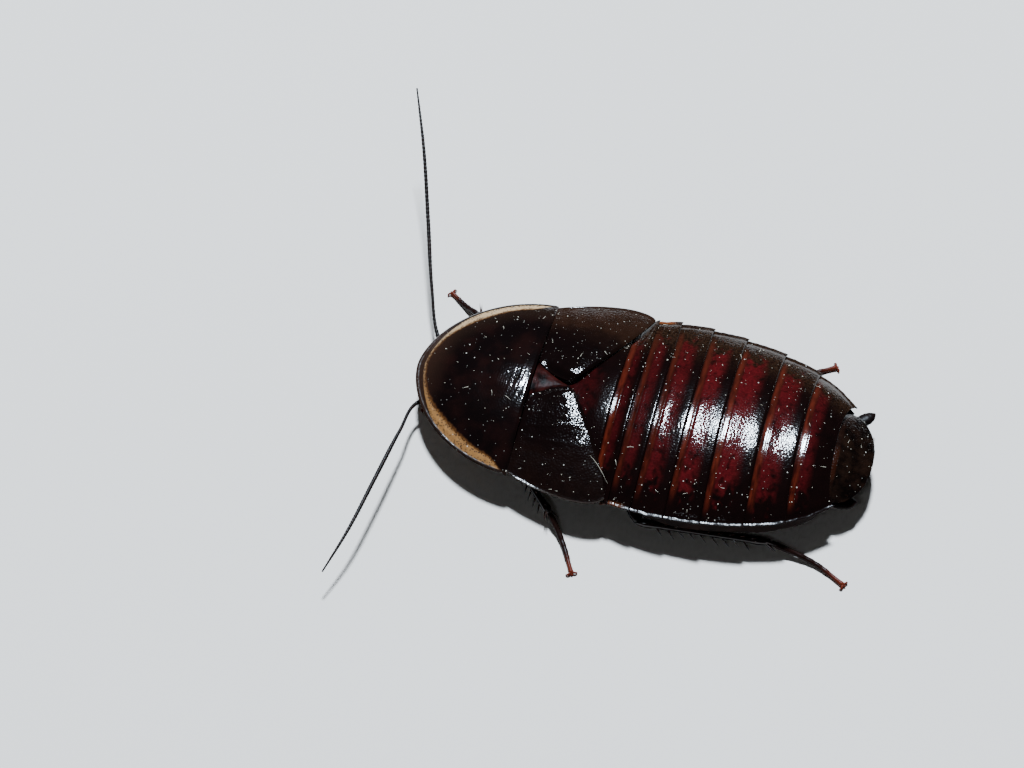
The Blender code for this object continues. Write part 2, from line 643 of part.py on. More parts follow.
def limb(name, path, half_widths, half_heights, sides=LIMB_SIDES, **ends):
    rings = limb_rings(path, half_widths, half_heights, sides, **ends)
    return loft(name, rings, (centre(rings[0]), centre(rings[-1])))


def straight(start, end, count):
    return [start.lerp(end, i / (count - 1)) for i in range(count)]


def shares(count):
    return [i / (count - 1) for i in range(count)]


def spine(root, direction, length, radius):
    """A five-sided spine whose root is sunk into the limb it grows from."""
    bm = bmesh.new()
    bmesh.ops.create_cone(bm, cap_ends=True, segments=5, radius1=radius * MM, radius2=0.0,
                          depth=length * MM)
    turn = UP.rotation_difference(direction).to_matrix().to_4x4()
    middle = place(root + direction * length / 2)
    bmesh.ops.transform(bm, matrix=Matrix.Translation(middle) @ turn, verts=bm.verts[:])
    return mesh_from(bm, "spine")


def leaning_spine(base, along, sideways, tilt, length):
    """A spine that leaves the limb sideways and leans towards the foot."""
    sideways = sideways.normalized()
    lean = math.radians(tilt)
    direction = (along * math.cos(lean) + sideways * math.sin(lean)).normalized()
    return spine(base + sideways * SPINE_ROOT, direction, length, SPINE_RADIUS)


def tibia_spines(leg, start, end):
    """Stout spines in two rows along the tibia and a crown of spurs at its end."""
    draw = random.Random(leg)
    along = (end - start).normalized()
    across = UP.cross(along).normalized()
    outwards = across if (start + end).y * across.y > 0 else -across
    rows = SPINE_ROWS[leg.split("_")[0]]
    pieces = []
    for i in range(rows):
        for side, rise, shift in SPINE_LINES:
            base = start.lerp(end, SPINE_FIRST + SPINE_REACH * (i + shift) / rows)
            length = SPINE_LENGTH * draw.uniform(1 - SPINE_VARIATION, 1 + SPINE_VARIATION)
            pieces.append(leaning_spine(base, along, outwards * side + UP * rise, SPINE_TILT, length))
    for turn in SPUR_TURNS:
        angle = math.radians(turn)
        sideways = outwards * math.cos(angle) + UP * 0.6 * math.sin(angle)
        pieces.append(leaning_spine(end - along * SPUR_ROOT, along, sideways, SPUR_TILT, SPINE_LENGTH))
    return pieces


def claws(tip, along):
    """Two short curved claws that part at the end of the foot and point down to the floor."""
    pieces = []
    across = UP.cross(along).normalized()
    angle = math.radians(CLAW_SPREAD)
    for sign in (-1, 1):
        first = along * math.cos(angle) + across * sign * math.sin(angle)
        second = (first * 0.8 + across * sign * 0.5 - along * 0.35 - UP * 0.35).normalized()
        root = tip - along * CLAW_ROOT
        bend = root + first * CLAW_LENGTH * 0.6
        path = [root, bend, bend + second * CLAW_LENGTH * 0.5]
        pieces.append(limb("claw", path, CLAW_RADII, CLAW_RADII, sides=5, floor=True))
    return pieces


def make_coxa(leg, collection):
    """The flat first piece of a leg, which lies under the thorax and points rearwards."""
    root, coxa_end = (Vector(p) for p in LEG_JOINTS[leg][:2])
    path = straight(root, coxa_end - REARWARDS * GAP / 2, LIMB_POINTS)
    widths = [curve_through(COXA_HALF_WIDTH)(s) for s in shares(LIMB_POINTS)]
    heights = [curve_through(COXA_HALF_HEIGHT)(s) for s in shares(LIMB_POINTS)]
    mesh = limb("coxa", path, widths, heights, end_normal=REARWARDS)
    new_object(f"coxa_{leg}", mesh, "limb", collection)


def joint_planes(leg):
    """The normals of the planes that part femur from tibia and tibia from tarsus."""
    hip, knee, ankle, sole = (Vector(p) for p in LEG_JOINTS[leg][2:6])
    out, down, foot = ((b - a).normalized() for a, b in ((hip, knee), (knee, ankle), (ankle, sole)))
    return (out + down).normalized(), (down + foot).normalized()


def make_femur(leg, collection):
    """The trochanter and the broad femur in one piece, which carries the leg out to the knee."""
    coxa_end, hip, knee = (Vector(p) for p in LEG_JOINTS[leg][1:4])
    at_knee = joint_planes(leg)[0]
    out = (knee - hip).normalized()
    start = coxa_end + REARWARDS * GAP / 2
    path = [start, start + REARWARDS * TROCHANTER_LENGTH, hip + out * 0.1]
    path += straight(hip + out * FEMUR_FIRST_RING, knee - out * GAP / 2 / out.dot(at_knee), LIMB_POINTS)
    size = FEMUR_HALF_WIDTH[leg.split("_")[0]]
    swell = [curve_through(FEMUR_SWELL)(s) for s in shares(LIMB_POINTS + 1)]
    widths = [*TROCHANTER_HALF_WIDTHS, *(size * s for s in swell)]
    heights = [*TROCHANTER_HALF_HEIGHTS, *(FEMUR_HALF_HEIGHT * (0.7 + 0.3 * s) for s in swell)]
    mesh = limb("femur", path, widths, heights, start_normal=REARWARDS, end_normal=at_knee)
    new_object(f"femur_{leg}", mesh, "limb", collection)


def make_tibia(leg, collection):
    """The slim tibia with its spines."""
    knee, ankle = (Vector(p) for p in LEG_JOINTS[leg][3:5])
    at_knee, at_ankle = joint_planes(leg)
    down = (ankle - knee).normalized()
    start = knee + down * GAP / 2 / down.dot(at_knee)
    end = ankle - down * GAP / 2 / down.dot(at_ankle)
    radii = [curve_through(TIBIA_RADIUS)(s) for s in shares(LIMB_POINTS)]
    mesh = limb("tibia", straight(start, end, LIMB_POINTS), radii, radii, sides=ROUND_LIMB_SIDES,
                start_normal=at_knee, end_normal=at_ankle)
    tibia = new_object(f"tibia_{leg}", mesh, "limb", collection)
    fuse(tibia, tibia_spines(leg, start, end))


def make_tarsus(leg, collection):
    """The five-jointed foot, flat where it meets the floor, with its claws."""
    ankle, sole, tip = (Vector(p) for p in LEG_JOINTS[leg][4:])
    at_ankle = joint_planes(leg)[1]
    foot = (sole - ankle).normalized()
    start = ankle + foot * GAP / 2 / foot.dot(at_ankle)
    path = path_through((start, sole, tip), TARSUS_POINTS)
    radii = [curve_through(TARSUS_RADIUS)(s) for s in shares(TARSUS_POINTS)]
    mesh = limb("tarsus", path, radii, radii, sides=ROUND_LIMB_SIDES, start_normal=at_ankle, floor=True)
    tarsus = new_object(f"tarsus_{leg}", mesh, "foot", collection)
    fuse(tarsus, claws(tip, (tip - sole).normalized()))


def tube(name, points, radii, finish, collection):
    """A round limb drawn as a curve with its own radius at each point."""
    curve = bpy.data.curves.new(name, "CURVE")
    curve.dimensions = "3D"
    curve.bevel_depth = MM
    curve.bevel_resolution = 1
    curve.use_fill_caps = True
    line = curve.splines.new("POLY")
    line.points.add(len(points) - 1)
    for knot, point, radius in zip(line.points, points, radii):
        knot.co = (*place(point), 1.0)
        knot.radius = radius
    drawn = bpy.data.objects.new(name + "_drawn", curve)
    collection.objects.link(drawn)
    mesh = apply_curve(drawn)
    return new_object(name, mesh, finish, collection)


def apply_curve(drawn):
    """A mesh of a drawn curve with its end caps welded on."""
    bpy.context.view_layer.update()
    evaluated = drawn.evaluated_get(bpy.context.evaluated_depsgraph_get())
    mesh = bpy.data.meshes.new_from_object(evaluated)
    bpy.data.objects.remove(drawn, do_unlink=True)
    bm = bmesh.new()
    bm.from_mesh(mesh)
    bmesh.ops.remove_doubles(bm, verts=bm.verts[:], dist=0.00001)
    bmesh.ops.recalc_face_normals(bm, faces=bm.faces[:])
    bmesh.ops.triangulate(bm, faces=bm.faces[:])
    bm.to_mesh(mesh)
    bm.free()
    return mesh


def make_antennae(collection):
    radius = curve_through(ANTENNA_RADIUS)
    for side, route in (("left", LEFT_ANTENNA), ("right", RIGHT_ANTENNA)):
        root = path_through(route, 3 * ANTENNA_POINTS)
        points = root[:6] + root[6::3]
        if points[-1] != root[-1]:
            points.append(root[-1])
        places = [root.index(p) / (len(root) - 1) for p in points]
        tube(f"antenna_{side}", points, [radius(s) for s in places], "limb", collection)


def ellipsoid(name, middle, half_sizes, tilt):
    bm = bmesh.new()
    bmesh.ops.create_uvsphere(bm, u_segments=14, v_segments=9, radius=MM)
    size = Matrix.Diagonal((*half_sizes, 1.0))
    bmesh.ops.transform(bm, matrix=Matrix.Translation(place(middle)) @ tilt @ size, verts=bm.verts[:])
    bmesh.ops.triangulate(bm, faces=bm.faces[:])
    return mesh_from(bm, name)


def head_point(share, forward, sideways=0.0):
    """A point of the head: along the line from crown to mouth, and out towards the face."""
    middle = HEAD_CROWN.lerp(HEAD_MOUTH, share)
    return middle + HEAD_FACE * forward + Vector((0.0, sideways, 0.0))


def head_ring(share, half_width, half_depth, forward=0.0, sides=HEAD_SIDES):
    """A section of the head, square to the line from the crown to the mouth."""
    ring = []
    for k in range(sides):
        turn = 2 * math.pi * (k + 0.5) / sides
        c, s = math.cos(turn), math.sin(turn)
        sideways = half_width * math.copysign(abs(c) ** (2 / HEAD_SQUARENESS), c)
        depth = half_depth * math.copysign(abs(s) ** (2 / HEAD_SQUARENESS), s)
        ring.append(head_point(share, forward - depth, sideways))
    return ring


def head_plate(name, sections, forward=0.0, sides=HEAD_SIDES):
    rings = [head_ring(*sizes, forward=forward, sides=sides) for sizes in sections]
    return loft(name, rings, (centre(rings[0]), centre(rings[-1])))


def mandible(sign):
    """A stout jaw that curves in below the upper lip to meet the other one."""
    path = [head_point(share, forward, sign * sideways) for share, sideways, forward in MANDIBLE]
    return limb("mandible", path, MANDIBLE_RADIUS, MANDIBLE_RADIUS, sides=ROUND_LIMB_SIDES)


def mirrored(points, sign):
    return [Vector((x, sign * y, z)) for x, y, z in points]


def make_head(collection, cutters):
    """The head capsule with upper lip and jaws in one piece, the eyes in sockets and the palps."""
    head = new_object("head", head_plate("head", HEAD_RINGS), "plate", collection)
    clypeus = head_plate("clypeus", CLYPEUS_RINGS, CLYPEUS_FORWARD, sides=10)
    labrum = head_plate("labrum", LABRUM_RINGS, LABRUM_FORWARD, sides=10)
    fuse(head, [clypeus, labrum, mandible(-1), mandible(1)])
    tilt = UP.rotation_difference(-HEAD_AXIS).to_matrix().to_4x4()
    for side, sign in (("left", -1), ("right", 1)):
        middle, notch_middle = mirrored((EYE_PLACE, EYE_NOTCH_PLACE), sign)
        socket = [size + GAP for size in EYE_HALF_SIZES]
        carve(head, ellipsoid("socket", middle, socket, tilt), cutters)
        eye = new_object(f"eye_{side}", ellipsoid("eye", middle, EYE_HALF_SIZES, tilt), "eye", collection)
        carve(eye, ellipsoid("notch", notch_middle, EYE_NOTCH_HALF_SIZES, tilt), cutters)
        tube(f"maxillary_palp_{side}", mirrored(MAXILLARY_PALP, sign), MAXILLARY_PALP_RADIUS,
             "limb", collection)
        tube(f"labial_palp_{side}", mirrored(LABIAL_PALP, sign), LABIAL_PALP_RADIUS, "limb", collection)


def make_cerci(collection):
    for side, path in CERCI.items():
        mesh = limb("cercus", [Vector(p) for p in path], CERCUS_HALF_WIDTH, CERCUS_HALF_HEIGHT,
                    start_normal=REARWARDS)
        new_object(f"cercus_{side}", mesh, "plate", collection)


def main():
    clear_scene()
    collection = part_collection()
    cutters = bpy.data.collections.new("cutters")
    bpy.context.scene.collection.children.link(cutters)
    make_pronotum(collection)
    make_head(collection, cutters)
    make_antennae(collection)
    make_prothorax(collection)
    make_thorax(collection)
    for side, sign in (("left", -1), ("right", 1)):
        make_tegmen(side, sign, collection)
    make_abdomen(collection)
    make_end_plates(collection)
    make_cerci(collection)
    for leg in LEG_JOINTS:
        make_coxa(leg, collection)
        make_femur(leg, collection)
        make_tibia(leg, collection)
        make_tarsus(leg, collection)


main()
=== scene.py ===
# %% [markdown]
# # A short-winged ground cockroach, plate by plate
#
# The animal is a broad cockroach about 43 mm long. A shield covers its head, two stubby leathery
# wing covers lie behind it, and the rest of its back is a row of overlapping plates. The packed
# solids give the place and size of every piece. Here each of them is made again as fine as the
# real one, in the same frame, and given its own finish.

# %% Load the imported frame
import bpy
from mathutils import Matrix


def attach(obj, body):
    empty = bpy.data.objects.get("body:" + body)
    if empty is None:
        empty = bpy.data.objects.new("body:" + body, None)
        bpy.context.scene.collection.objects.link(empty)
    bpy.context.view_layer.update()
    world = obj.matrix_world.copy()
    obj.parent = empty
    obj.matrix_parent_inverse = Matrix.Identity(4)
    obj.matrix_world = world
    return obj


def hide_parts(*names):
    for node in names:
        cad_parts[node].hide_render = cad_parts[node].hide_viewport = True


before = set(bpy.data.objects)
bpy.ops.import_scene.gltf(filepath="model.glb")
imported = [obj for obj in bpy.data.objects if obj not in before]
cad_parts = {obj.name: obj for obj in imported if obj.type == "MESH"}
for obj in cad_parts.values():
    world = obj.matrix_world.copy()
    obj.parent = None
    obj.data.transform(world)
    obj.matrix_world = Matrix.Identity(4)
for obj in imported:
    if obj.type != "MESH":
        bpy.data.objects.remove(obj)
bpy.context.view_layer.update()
print("solids to dress:", len(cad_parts))

# %% [markdown]
# ## Places on the body
#
# The body is measured in millimetres: x runs from the front edge of the shield to the tail, y to
# the animal's right and z up from the floor. One function turns such a place into the frame's
# metres, and others turn it back and move the points of a whole piece at once.

# %% Units and places
import math
import random

import bpy
import numpy as np
from mathutils import Euler, Matrix, Vector, noise

MM = 0.001
BELLY_REST_X = 30.6
UP = Vector((0.0, 0.0, 1.0))
REARWARDS = Vector((1.0, 0.0, 0.0))
SIDES = (("left", -1), ("right", 1))


def at(x, y, z):
    """A place in millimetres along the body, in the frame's metres."""
    return Vector(((x - BELLY_REST_X) * MM, y * MM, z * MM))


def raw_points(piece):
    """The x, y and z of every point of a piece, as its mesh holds them."""
    flat = np.empty(3 * len(piece.data.vertices))
    piece.data.vertices.foreach_get("co", flat)
    return flat.reshape(-1, 3).T


def body_places(piece):
    """The x, y and z of every point of a piece, in millimetres along the body."""
    x, y, z = raw_points(piece) / MM
    return x + BELLY_REST_X, y, z


def move_points(piece, x, y, z):
    """Moves every point of a piece to its place in millimetres along the body."""
    moved = np.stack([x - BELLY_REST_X, y, z], axis=1) * MM
    piece.data.vertices.foreach_set("co", moved.ravel())
    piece.data.update()


print("front edge of the shield is at", at(0, 0, 0))

# %% [markdown]
# ## Smooth curves through measured stations
#
# Widths and heights along the body are known at a few stations. A cubic that passes through all
# of them gives the values in between, so the outline has no corners.

# %% Curves, steps and beads


def curve_through(stations):
    """A smooth function through (place, value) stations, level beyond both ends."""
    places, values = np.array(stations, dtype=float).T
    slopes = np.gradient(values, places)

    def value(x):
        x = np.clip(x, places[0], places[-1])
        k = np.clip(np.searchsorted(places, x, side="right") - 1, 0, len(places) - 2)
        span = places[k + 1] - places[k]
        t = (x - places[k]) / span
        start = values[k] * (2 * t ** 3 - 3 * t ** 2 + 1) + slopes[k] * span * (t ** 3 - 2 * t ** 2 + t)
        end = values[k + 1] * (3 * t ** 2 - 2 * t ** 3) + slopes[k + 1] * span * (t ** 3 - t ** 2)
        return start + end

    return value


def path_through(points, count):
    """Evenly spaced places on one smooth curve through the named ones."""
    points = [Vector(p) for p in points]
    lengths = [0.0]
    for before, after in zip(points, points[1:]):
        lengths.append(lengths[-1] + (after - before).length)
    axes = [curve_through([(s, p[k]) for s, p in zip(lengths, points)]) for k in range(3)]
    return [Vector([float(axis(lengths[-1] * i / (count - 1))) for axis in axes]) for i in range(count)]


def ease(x, start, end):
    """0 before start, 1 after end and a smooth climb between them."""
    t = np.clip((x - start) / (end - start), 0.0, 1.0)
    return t * t * (3 - 2 * t)


def bead(x, middle, width):
    """A low round ridge."""
    return np.exp(-((x - middle) / width) ** 2)


def relief(x, y, size, seed=0.0):
    """Uneven ground, between about -1 and 1, whose bumps are about this size in millimetres."""
    long, wide = size if isinstance(size, tuple) else (size, size)
    return np.array([noise.noise((a / long, b / wide, seed)) for a, b in zip(x, y)])


print("half way up a step:", ease(0.5, 0, 1))

# %% [markdown]
# ## Working by hand, in code
#
# Blender's operators work on what is selected, so every step picks its piece first. A new
# primitive gets its name, a modifier is applied at once, and a closed shape is welded and has its
# faces turned outwards before it gets a wall.

# %% Selecting and naming


def pick(*pieces):
    if bpy.context.mode != "OBJECT":
        bpy.ops.object.mode_set(mode="OBJECT")
    bpy.ops.object.select_all(action="DESELECT")
    for piece in pieces:
        piece.select_set(True)
    if pieces:
        bpy.context.view_layer.objects.active = pieces[0]


def name_new(name):
    piece = bpy.context.object
    piece.name = name
    piece.data.name = name
    return piece


print("picking and naming ready")

# %% Modifiers, welding and turning faces


def apply_modifier(piece, kind, **settings):
    pick(piece)
    modifier = piece.modifiers.new(kind.lower(), kind)
    for key, value in settings.items():
        setattr(modifier, key, value)
    bpy.ops.object.modifier_apply(modifier=modifier.name)


def weld(piece, distance=0.002):
    """Merges points that meet and turns the faces of a closed shape outwards."""
    pick(piece)
    bpy.ops.object.mode_set(mode="EDIT")
    bpy.ops.mesh.select_all(action="SELECT")
    bpy.ops.mesh.remove_doubles(threshold=distance * MM)
    bpy.ops.mesh.normals_make_consistent(inside=False)
    bpy.ops.object.mode_set(mode="OBJECT")


def face_towards(piece, direction):
    """Turns an open sheet over if most of it faces away from this direction."""
    leaning = sum(f.normal.dot(direction) * f.area for f in piece.data.polygons)
    if leaning < 0:
        pick(piece)
        bpy.ops.object.mode_set(mode="EDIT")
        bpy.ops.mesh.select_all(action="SELECT")
        bpy.ops.mesh.flip_normals()
        bpy.ops.object.mode_set(mode="OBJECT")


def join(name, pieces):
    pick(*pieces)
    bpy.ops.object.join()
    return name_new(name)


print("modifiers, welding and joining ready")

# %% Numbers on the points, and a finished piece's place in the frame


def note(piece, name, values):
    """Writes a number on every point of a piece, for its finish to read."""
    layer = piece.data.attributes.new(name, "FLOAT", "POINT")
    layer.data.foreach_set("value", np.asarray(values, dtype=np.float32))


dressed = []


def set_in_place(piece, finish, slot, *nodes, crease=50):
    """Smooths a piece, gives it its finish and puts it in the frame in place of its solids."""
    pick(piece)
    bpy.ops.object.shade_smooth_by_angle(angle=math.radians(crease))
    piece.data.materials.clear()
    piece.data.materials.append(finish)
    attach(piece, "root")
    if nodes:
        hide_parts(*nodes)
    dressed.append(piece)
    triangles = sum(len(f.vertices) - 2 for f in piece.data.polygons)
    print(f"{piece.name}: {triangles} triangles, {[round(d / MM, 1) for d in piece.dimensions]} mm")


print("notes and places ready")

# %% [markdown]
# ## Three ways to shape a piece
#
# A plate of an insect is a thin sheet, so it starts as a flat grid that is bent over the body and
# then gets a wall. A limb starts as a ball that is drawn out along a path, so it is closed from
# the start and has round ends. Spines, hairs and dust are many copies of one small shape, each
# turned and sized on its own and all kept in one mesh.

# %% A sheet and its wall


def bend_sheet(name, across, along, surface, outwards):
    """A flat grid whose every point (u, v), from 0 to 1, is moved to its place on a surface."""
    pick()
    bpy.ops.mesh.primitive_grid_add(x_subdivisions=across, y_subdivisions=along, size=2.0)
    sheet = name_new(name)
    u, v = (raw_points(sheet)[:2] + 1) / 2
    move_points(sheet, *surface(u, v))
    face_towards(sheet, outwards)
    return sheet


def give_wall(sheet, thickness, rounding=0.05):
    """Gives a sheet its thickness on the inner side and softens its cut edge."""
    apply_modifier(sheet, "SOLIDIFY", thickness=thickness * MM, offset=-1.0)
    apply_modifier(sheet, "BEVEL", width=rounding * MM, segments=2, limit_method="ANGLE",
                   angle_limit=math.radians(60))


print("sheets ready")

# %% A limb drawn out of a ball


def draw_out(name, path, widths, heights, sides=16, squareness=2.0, tips=(0.5, 0.5), floor=False):
    """A ball drawn out along a path: each ring of it becomes one section of a limb."""
    rings = len(path) + 1
    pick()
    bpy.ops.mesh.primitive_uv_sphere_add(segments=sides, ring_count=rings, radius=1.0)
    limb = name_new(name)
    last = len(path) - 1
    alongs = [(path[min(i + 1, last)] - path[max(i - 1, 0)]).normalized() for i in range(last + 1)]
    for vertex in limb.data.vertices:
        row = round(math.acos(max(-1.0, min(1.0, vertex.co.z))) / math.pi * rings)
        if row == 0:
            point = path[0] - alongs[0] * tips[0] * heights[0]
        elif row == rings:
            point = path[-1] + alongs[-1] * tips[1] * heights[-1]
        else:
            along = alongs[row - 1]
            across = UP.cross(along).normalized()
            up = along.cross(across)
            turn = math.atan2(vertex.co.y, vertex.co.x)
            c, s = math.cos(turn), math.sin(turn)
            c = math.copysign(abs(c) ** (2 / squareness), c)
            s = math.copysign(abs(s) ** (2 / squareness), s)
            point = path[row - 1] + across * widths[row - 1] * c + up * heights[row - 1] * s
        if floor:
            point.z = max(point.z, 0.0)
        vertex.co = at(*point)
    weld(limb)
    return limb


print("limbs ready")

# %% Many copies of a small shape


def stamp(name, template, placings):
    """One mesh of many copies of a template, each placed by a matrix of its own."""
    points = np.array([(*v.co, 1.0) for v in template.data.vertices])
    faces = [tuple(f.vertices) for f in template.data.polygons]
    all_points = np.concatenate([(points @ np.array(m).T)[:, :3] for m in placings])
    all_faces = [tuple(i + k * len(points) for i in face) for k in range(len(placings)) for face in faces]
    mesh = bpy.data.meshes.new(name)
    mesh.from_pydata(all_points.tolist(), [], all_faces)
    mesh.update()
    copies = bpy.data.objects.new(name, mesh)
    bpy.context.scene.collection.objects.link(copies)
    return copies


def placing(root, direction, length, radius, roll=0.0):
    """Stands a template of height 1 and radius 1 at a root, along a direction, at its own size."""
    turn = UP.rotation_difference(direction.normalized()).to_matrix().to_4x4()
    size = Matrix.Diagonal((radius * MM, radius * MM, length * MM, 1.0))
    return Matrix.Translation(at(*root)) @ turn @ Matrix.Rotation(roll, 4, "Z") @ size


print("stamps ready")

# %% [markdown]
# ## The templates: a spine, a hair and a grain of dust
#
# A spine is a cone. It is cut into lengths by bisecting, so that it can bend, and its points are
# shifted sideways more and more towards the tip. A hair is the same shape with fewer sides. Both
# stay out of the render.

# %% Spine, hair and dust grain


def tapered_template(name, sides, cuts, bend):
    pick()
    bpy.ops.mesh.primitive_cone_add(vertices=sides, radius1=1.0, radius2=0.06, depth=1.0,
                                    location=(0, 0, 0.5))
    bpy.ops.object.transform_apply(location=True)
    cone = name_new(name)
    bpy.ops.object.mode_set(mode="EDIT")
    for height in cuts:
        bpy.ops.mesh.select_all(action="SELECT")
        bpy.ops.mesh.bisect(plane_co=(0, 0, height), plane_no=(0, 0, 1))
    bpy.ops.object.mode_set(mode="OBJECT")
    for vertex in cone.data.vertices:
        vertex.co.x += bend * vertex.co.z ** 2
    return cone


spine_template = tapered_template("spine_template", 7, (0.3, 0.6, 0.85), 0.9)
hair_template = tapered_template("hair_template", 4, (0.35, 0.7), 5.0)
pick()
bpy.ops.mesh.primitive_ico_sphere_add(subdivisions=1, radius=1.0)
grain_template = name_new("grain_template")
TEMPLATES = (spine_template, hair_template, grain_template)
print("faces of a spine, a hair and a grain:", [len(t.data.polygons) for t in TEMPLATES])

# %% [markdown]
# ## Mixing finishes
#
# The animal's cuticle is one material everywhere: dark, glossy and finely pitted, with colour
# under a clear surface. What changes is the colour, the gloss and the grain. A small class lets
# shader sums be written as Python sums, and another holds one material while it is mixed. All
# patterns are set out in the body's own coordinates or by numbers noted on the points, so they
# stay on the animal from every side.

# %% Signals


class Signal:
    """One output in a material. Sums written on it become Math nodes."""

    def __init__(self, paint, socket):
        self.paint = paint
        self.socket = socket

    def math(self, operation, first, second):
        return self.paint.node("ShaderNodeMath", {"operation": operation}, {0: first, 1: second})

    def __add__(self, other):
        return self.math("ADD", self, other)

    def __radd__(self, other):
        return self.math("ADD", other, self)

    def __sub__(self, other):
        return self.math("SUBTRACT", self, other)

    def __rsub__(self, other):
        return self.math("SUBTRACT", other, self)

    def __mul__(self, other):
        return self.math("MULTIPLY", self, other)

    def __rmul__(self, other):
        return self.math("MULTIPLY", other, self)


print("signals ready")

# %% Paint


class Paint:
    """A material while it is mixed."""

    def __init__(self, name, **shader_values):
        self.material = bpy.data.materials.new(name)
        self.material.use_nodes = True
        self.tree = self.material.node_tree
        self.shader = self.tree.nodes["Principled BSDF"]
        for socket, value in shader_values.items():
            self.shader.inputs[socket.replace("_", " ").title().replace("Ior", "IOR")].default_value = value
        self.place = self.node("ShaderNodeTexCoord", out="Object")

    def node(self, kind, settings=None, values=None, out=0):
        """Adds a node, sets it up and feeds its sockets with numbers or signals."""
        node = self.tree.nodes.new(kind)
        for key, value in (settings or {}).items():
            setattr(node, key, value)
        for key, value in (values or {}).items():
            if isinstance(value, Signal):
                self.tree.links.new(value.socket, node.inputs[key])
            else:
                node.inputs[key].default_value = value
        return Signal(self, node.outputs[out])

    def stretched(self, along, across, upwards=None):
        """Body coordinates counted in steps of these sizes in millimetres."""
        steps = (along, across, upwards or across)
        scale = tuple(1 / (s * MM) for s in steps)
        return self.node("ShaderNodeMapping", values={"Vector": self.place, "Scale": scale})

    def cloud(self, along, across=None, detail=3.0):
        """Soft noise from 0 to 1 with blots of this size in millimetres."""
        vector = self.stretched(along, across or along)
        return self.node("ShaderNodeTexNoise", values={"Vector": vector, "Scale": 1.0, "Detail": detail})

    def noted(self, name):
        return self.node("ShaderNodeAttribute", {"attribute_name": name}, out="Fac")

    def step(self, value, start, end):
        """0 before start, 1 after end, smooth between; start may be the larger number."""
        values = {"Value": value, "From Min": start, "From Max": end}
        return self.node("ShaderNodeMapRange", {"interpolation_type": "SMOOTHSTEP"}, values)

    def mix(self, factor, first, second):
        """A colour between two colours."""
        first = first if isinstance(first, Signal) else (*first, 1.0)
        second = second if isinstance(second, Signal) else (*second, 1.0)
        return self.node("ShaderNodeMix", {"data_type": "RGBA"}, {0: factor, 6: first, 7: second}, out=2)

    def dots(self, spacing, size, share):
        """Round dots in random places, 1 on a dot and 0 beside it."""
        values = {"Vector": self.stretched(spacing, spacing), "Scale": 1.0}
        cell = self.node("ShaderNodeTexVoronoi", {"feature": "F1"}, values, out="Distance")
        chance = Signal(self, cell.socket.node.outputs["Color"])
        chance = self.node("ShaderNodeSeparateColor", values={"Color": chance}, out="Red")
        shown = self.step(chance, 1 - share, 1 - share + 0.02)
        return self.step(cell, size / spacing, 0.6 * size / spacing) * shown

    def pits(self, spacing):
        """A ground of small round hollows, 0 in a hollow and rising between them."""
        values = {"Vector": self.stretched(spacing, spacing), "Scale": 1.0, "Smoothness": 0.4}
        return self.node("ShaderNodeTexVoronoi", {"feature": "SMOOTH_F1"}, values, out="Distance")

    def finish(self, colour, roughness, height=None, depth=0.02):
        """Connects what varies. Height is in units of depth, a length in millimetres."""
        for socket, value in (("Base Color", colour), ("Roughness", roughness)):
            if isinstance(value, Signal):
                self.tree.links.new(value.socket, self.shader.inputs[socket])
            else:
                self.shader.inputs[socket].default_value = value
        if height is not None:
            values = {"Height": height, "Distance": depth * MM, "Strength": 1.0}
            bump = self.node("ShaderNodeBump", values=values, out="Normal")
            self.tree.links.new(bump.socket, self.shader.inputs["Normal"])
        return self.material


DUST = (0.6, 0.56, 0.48)
BLACK_BROWN = (0.003, 0.0015, 0.0015)
print("ready to mix")

# %% [markdown]
# ## Dust on the back
#
# The live animal comes out of rotten wood, and its back carries pale specks of it, mostly smaller
# than a tenth of a millimetre. The finest are painted here: two layers of round dots, one fine
# and one sparse, that lighten the colour and take the gloss away.

# %% Dust for any finish


def dusted(paint, colour, roughness, amount=1.0):
    """Adds fine pale specks to a colour and dulls the gloss on them."""
    fine = paint.dots(0.31, 0.05, 0.16 * amount) * 0.45
    coarse = paint.dots(0.9, 0.075, 0.35 * amount)
    speck = paint.node("ShaderNodeMath", {"operation": "MAXIMUM"}, {0: fine, 1: coarse})
    return paint.mix(speck * 0.8, colour, DUST), roughness + speck * 0.4


def plain_cuticle(name, dark, light, roughness, blot=1.2, pit=0.22, depth=0.009, dust=0.4, shine=0.5):
    """Glossy cuticle that varies between two colours, finely pitted."""
    paint = Paint(name, specular_ior_level=shine)
    cloud = paint.cloud(blot)
    colour = paint.mix(paint.step(cloud, 0.35, 0.7), dark, light)
    gloss = roughness - 0.05 + paint.cloud(0.5) * 0.08
    colour, gloss = dusted(paint, colour, gloss, dust)
    return paint.finish(colour, gloss, paint.pits(pit) + paint.cloud(0.35), depth)


membrane_finish = plain_cuticle("membrane_finish", (0.006, 0.0022, 0.0015), (0.018, 0.006, 0.004), 0.6,
                                shine=0.08)
print("the membrane's finish:", membrane_finish.name)

# %% [markdown]
# ## The shield
#
# The pronotum is a low dome with an arc for its front and sides and an almost straight hind
# margin. Its rim is a thin raised bead with a shallow gutter inside it. A grid is bent so that
# one side of it runs round the outline and the other side shrinks to the middle of the dome, and
# then the seam is welded: the rim gets rows of its own that follow the edge.

# %% Shield: outline and height
SHIELD_LENGTH = 11.1
SHIELD_HALF_WIDTH = 9.75
SHIELD_ARC = 11.6
SHIELD_TAPER = 1.75
SHIELD_RISE_LENGTH = 11.5
SHIELD_EDGE_TOP = 3.35
SHIELD_CREST = 5.8
SHIELD_MIDDLE = 6.6
SHIELD_WALL = 0.2
DOME_POWER = 2.1
HIND_SHARE = 0.24
RIM_BEAD = (0.16, 0.09)
RIM_GUTTER = (0.4, 0.18)
LIP_PLACE = (10.8, 11.15)
LIP_DROP = 0.14


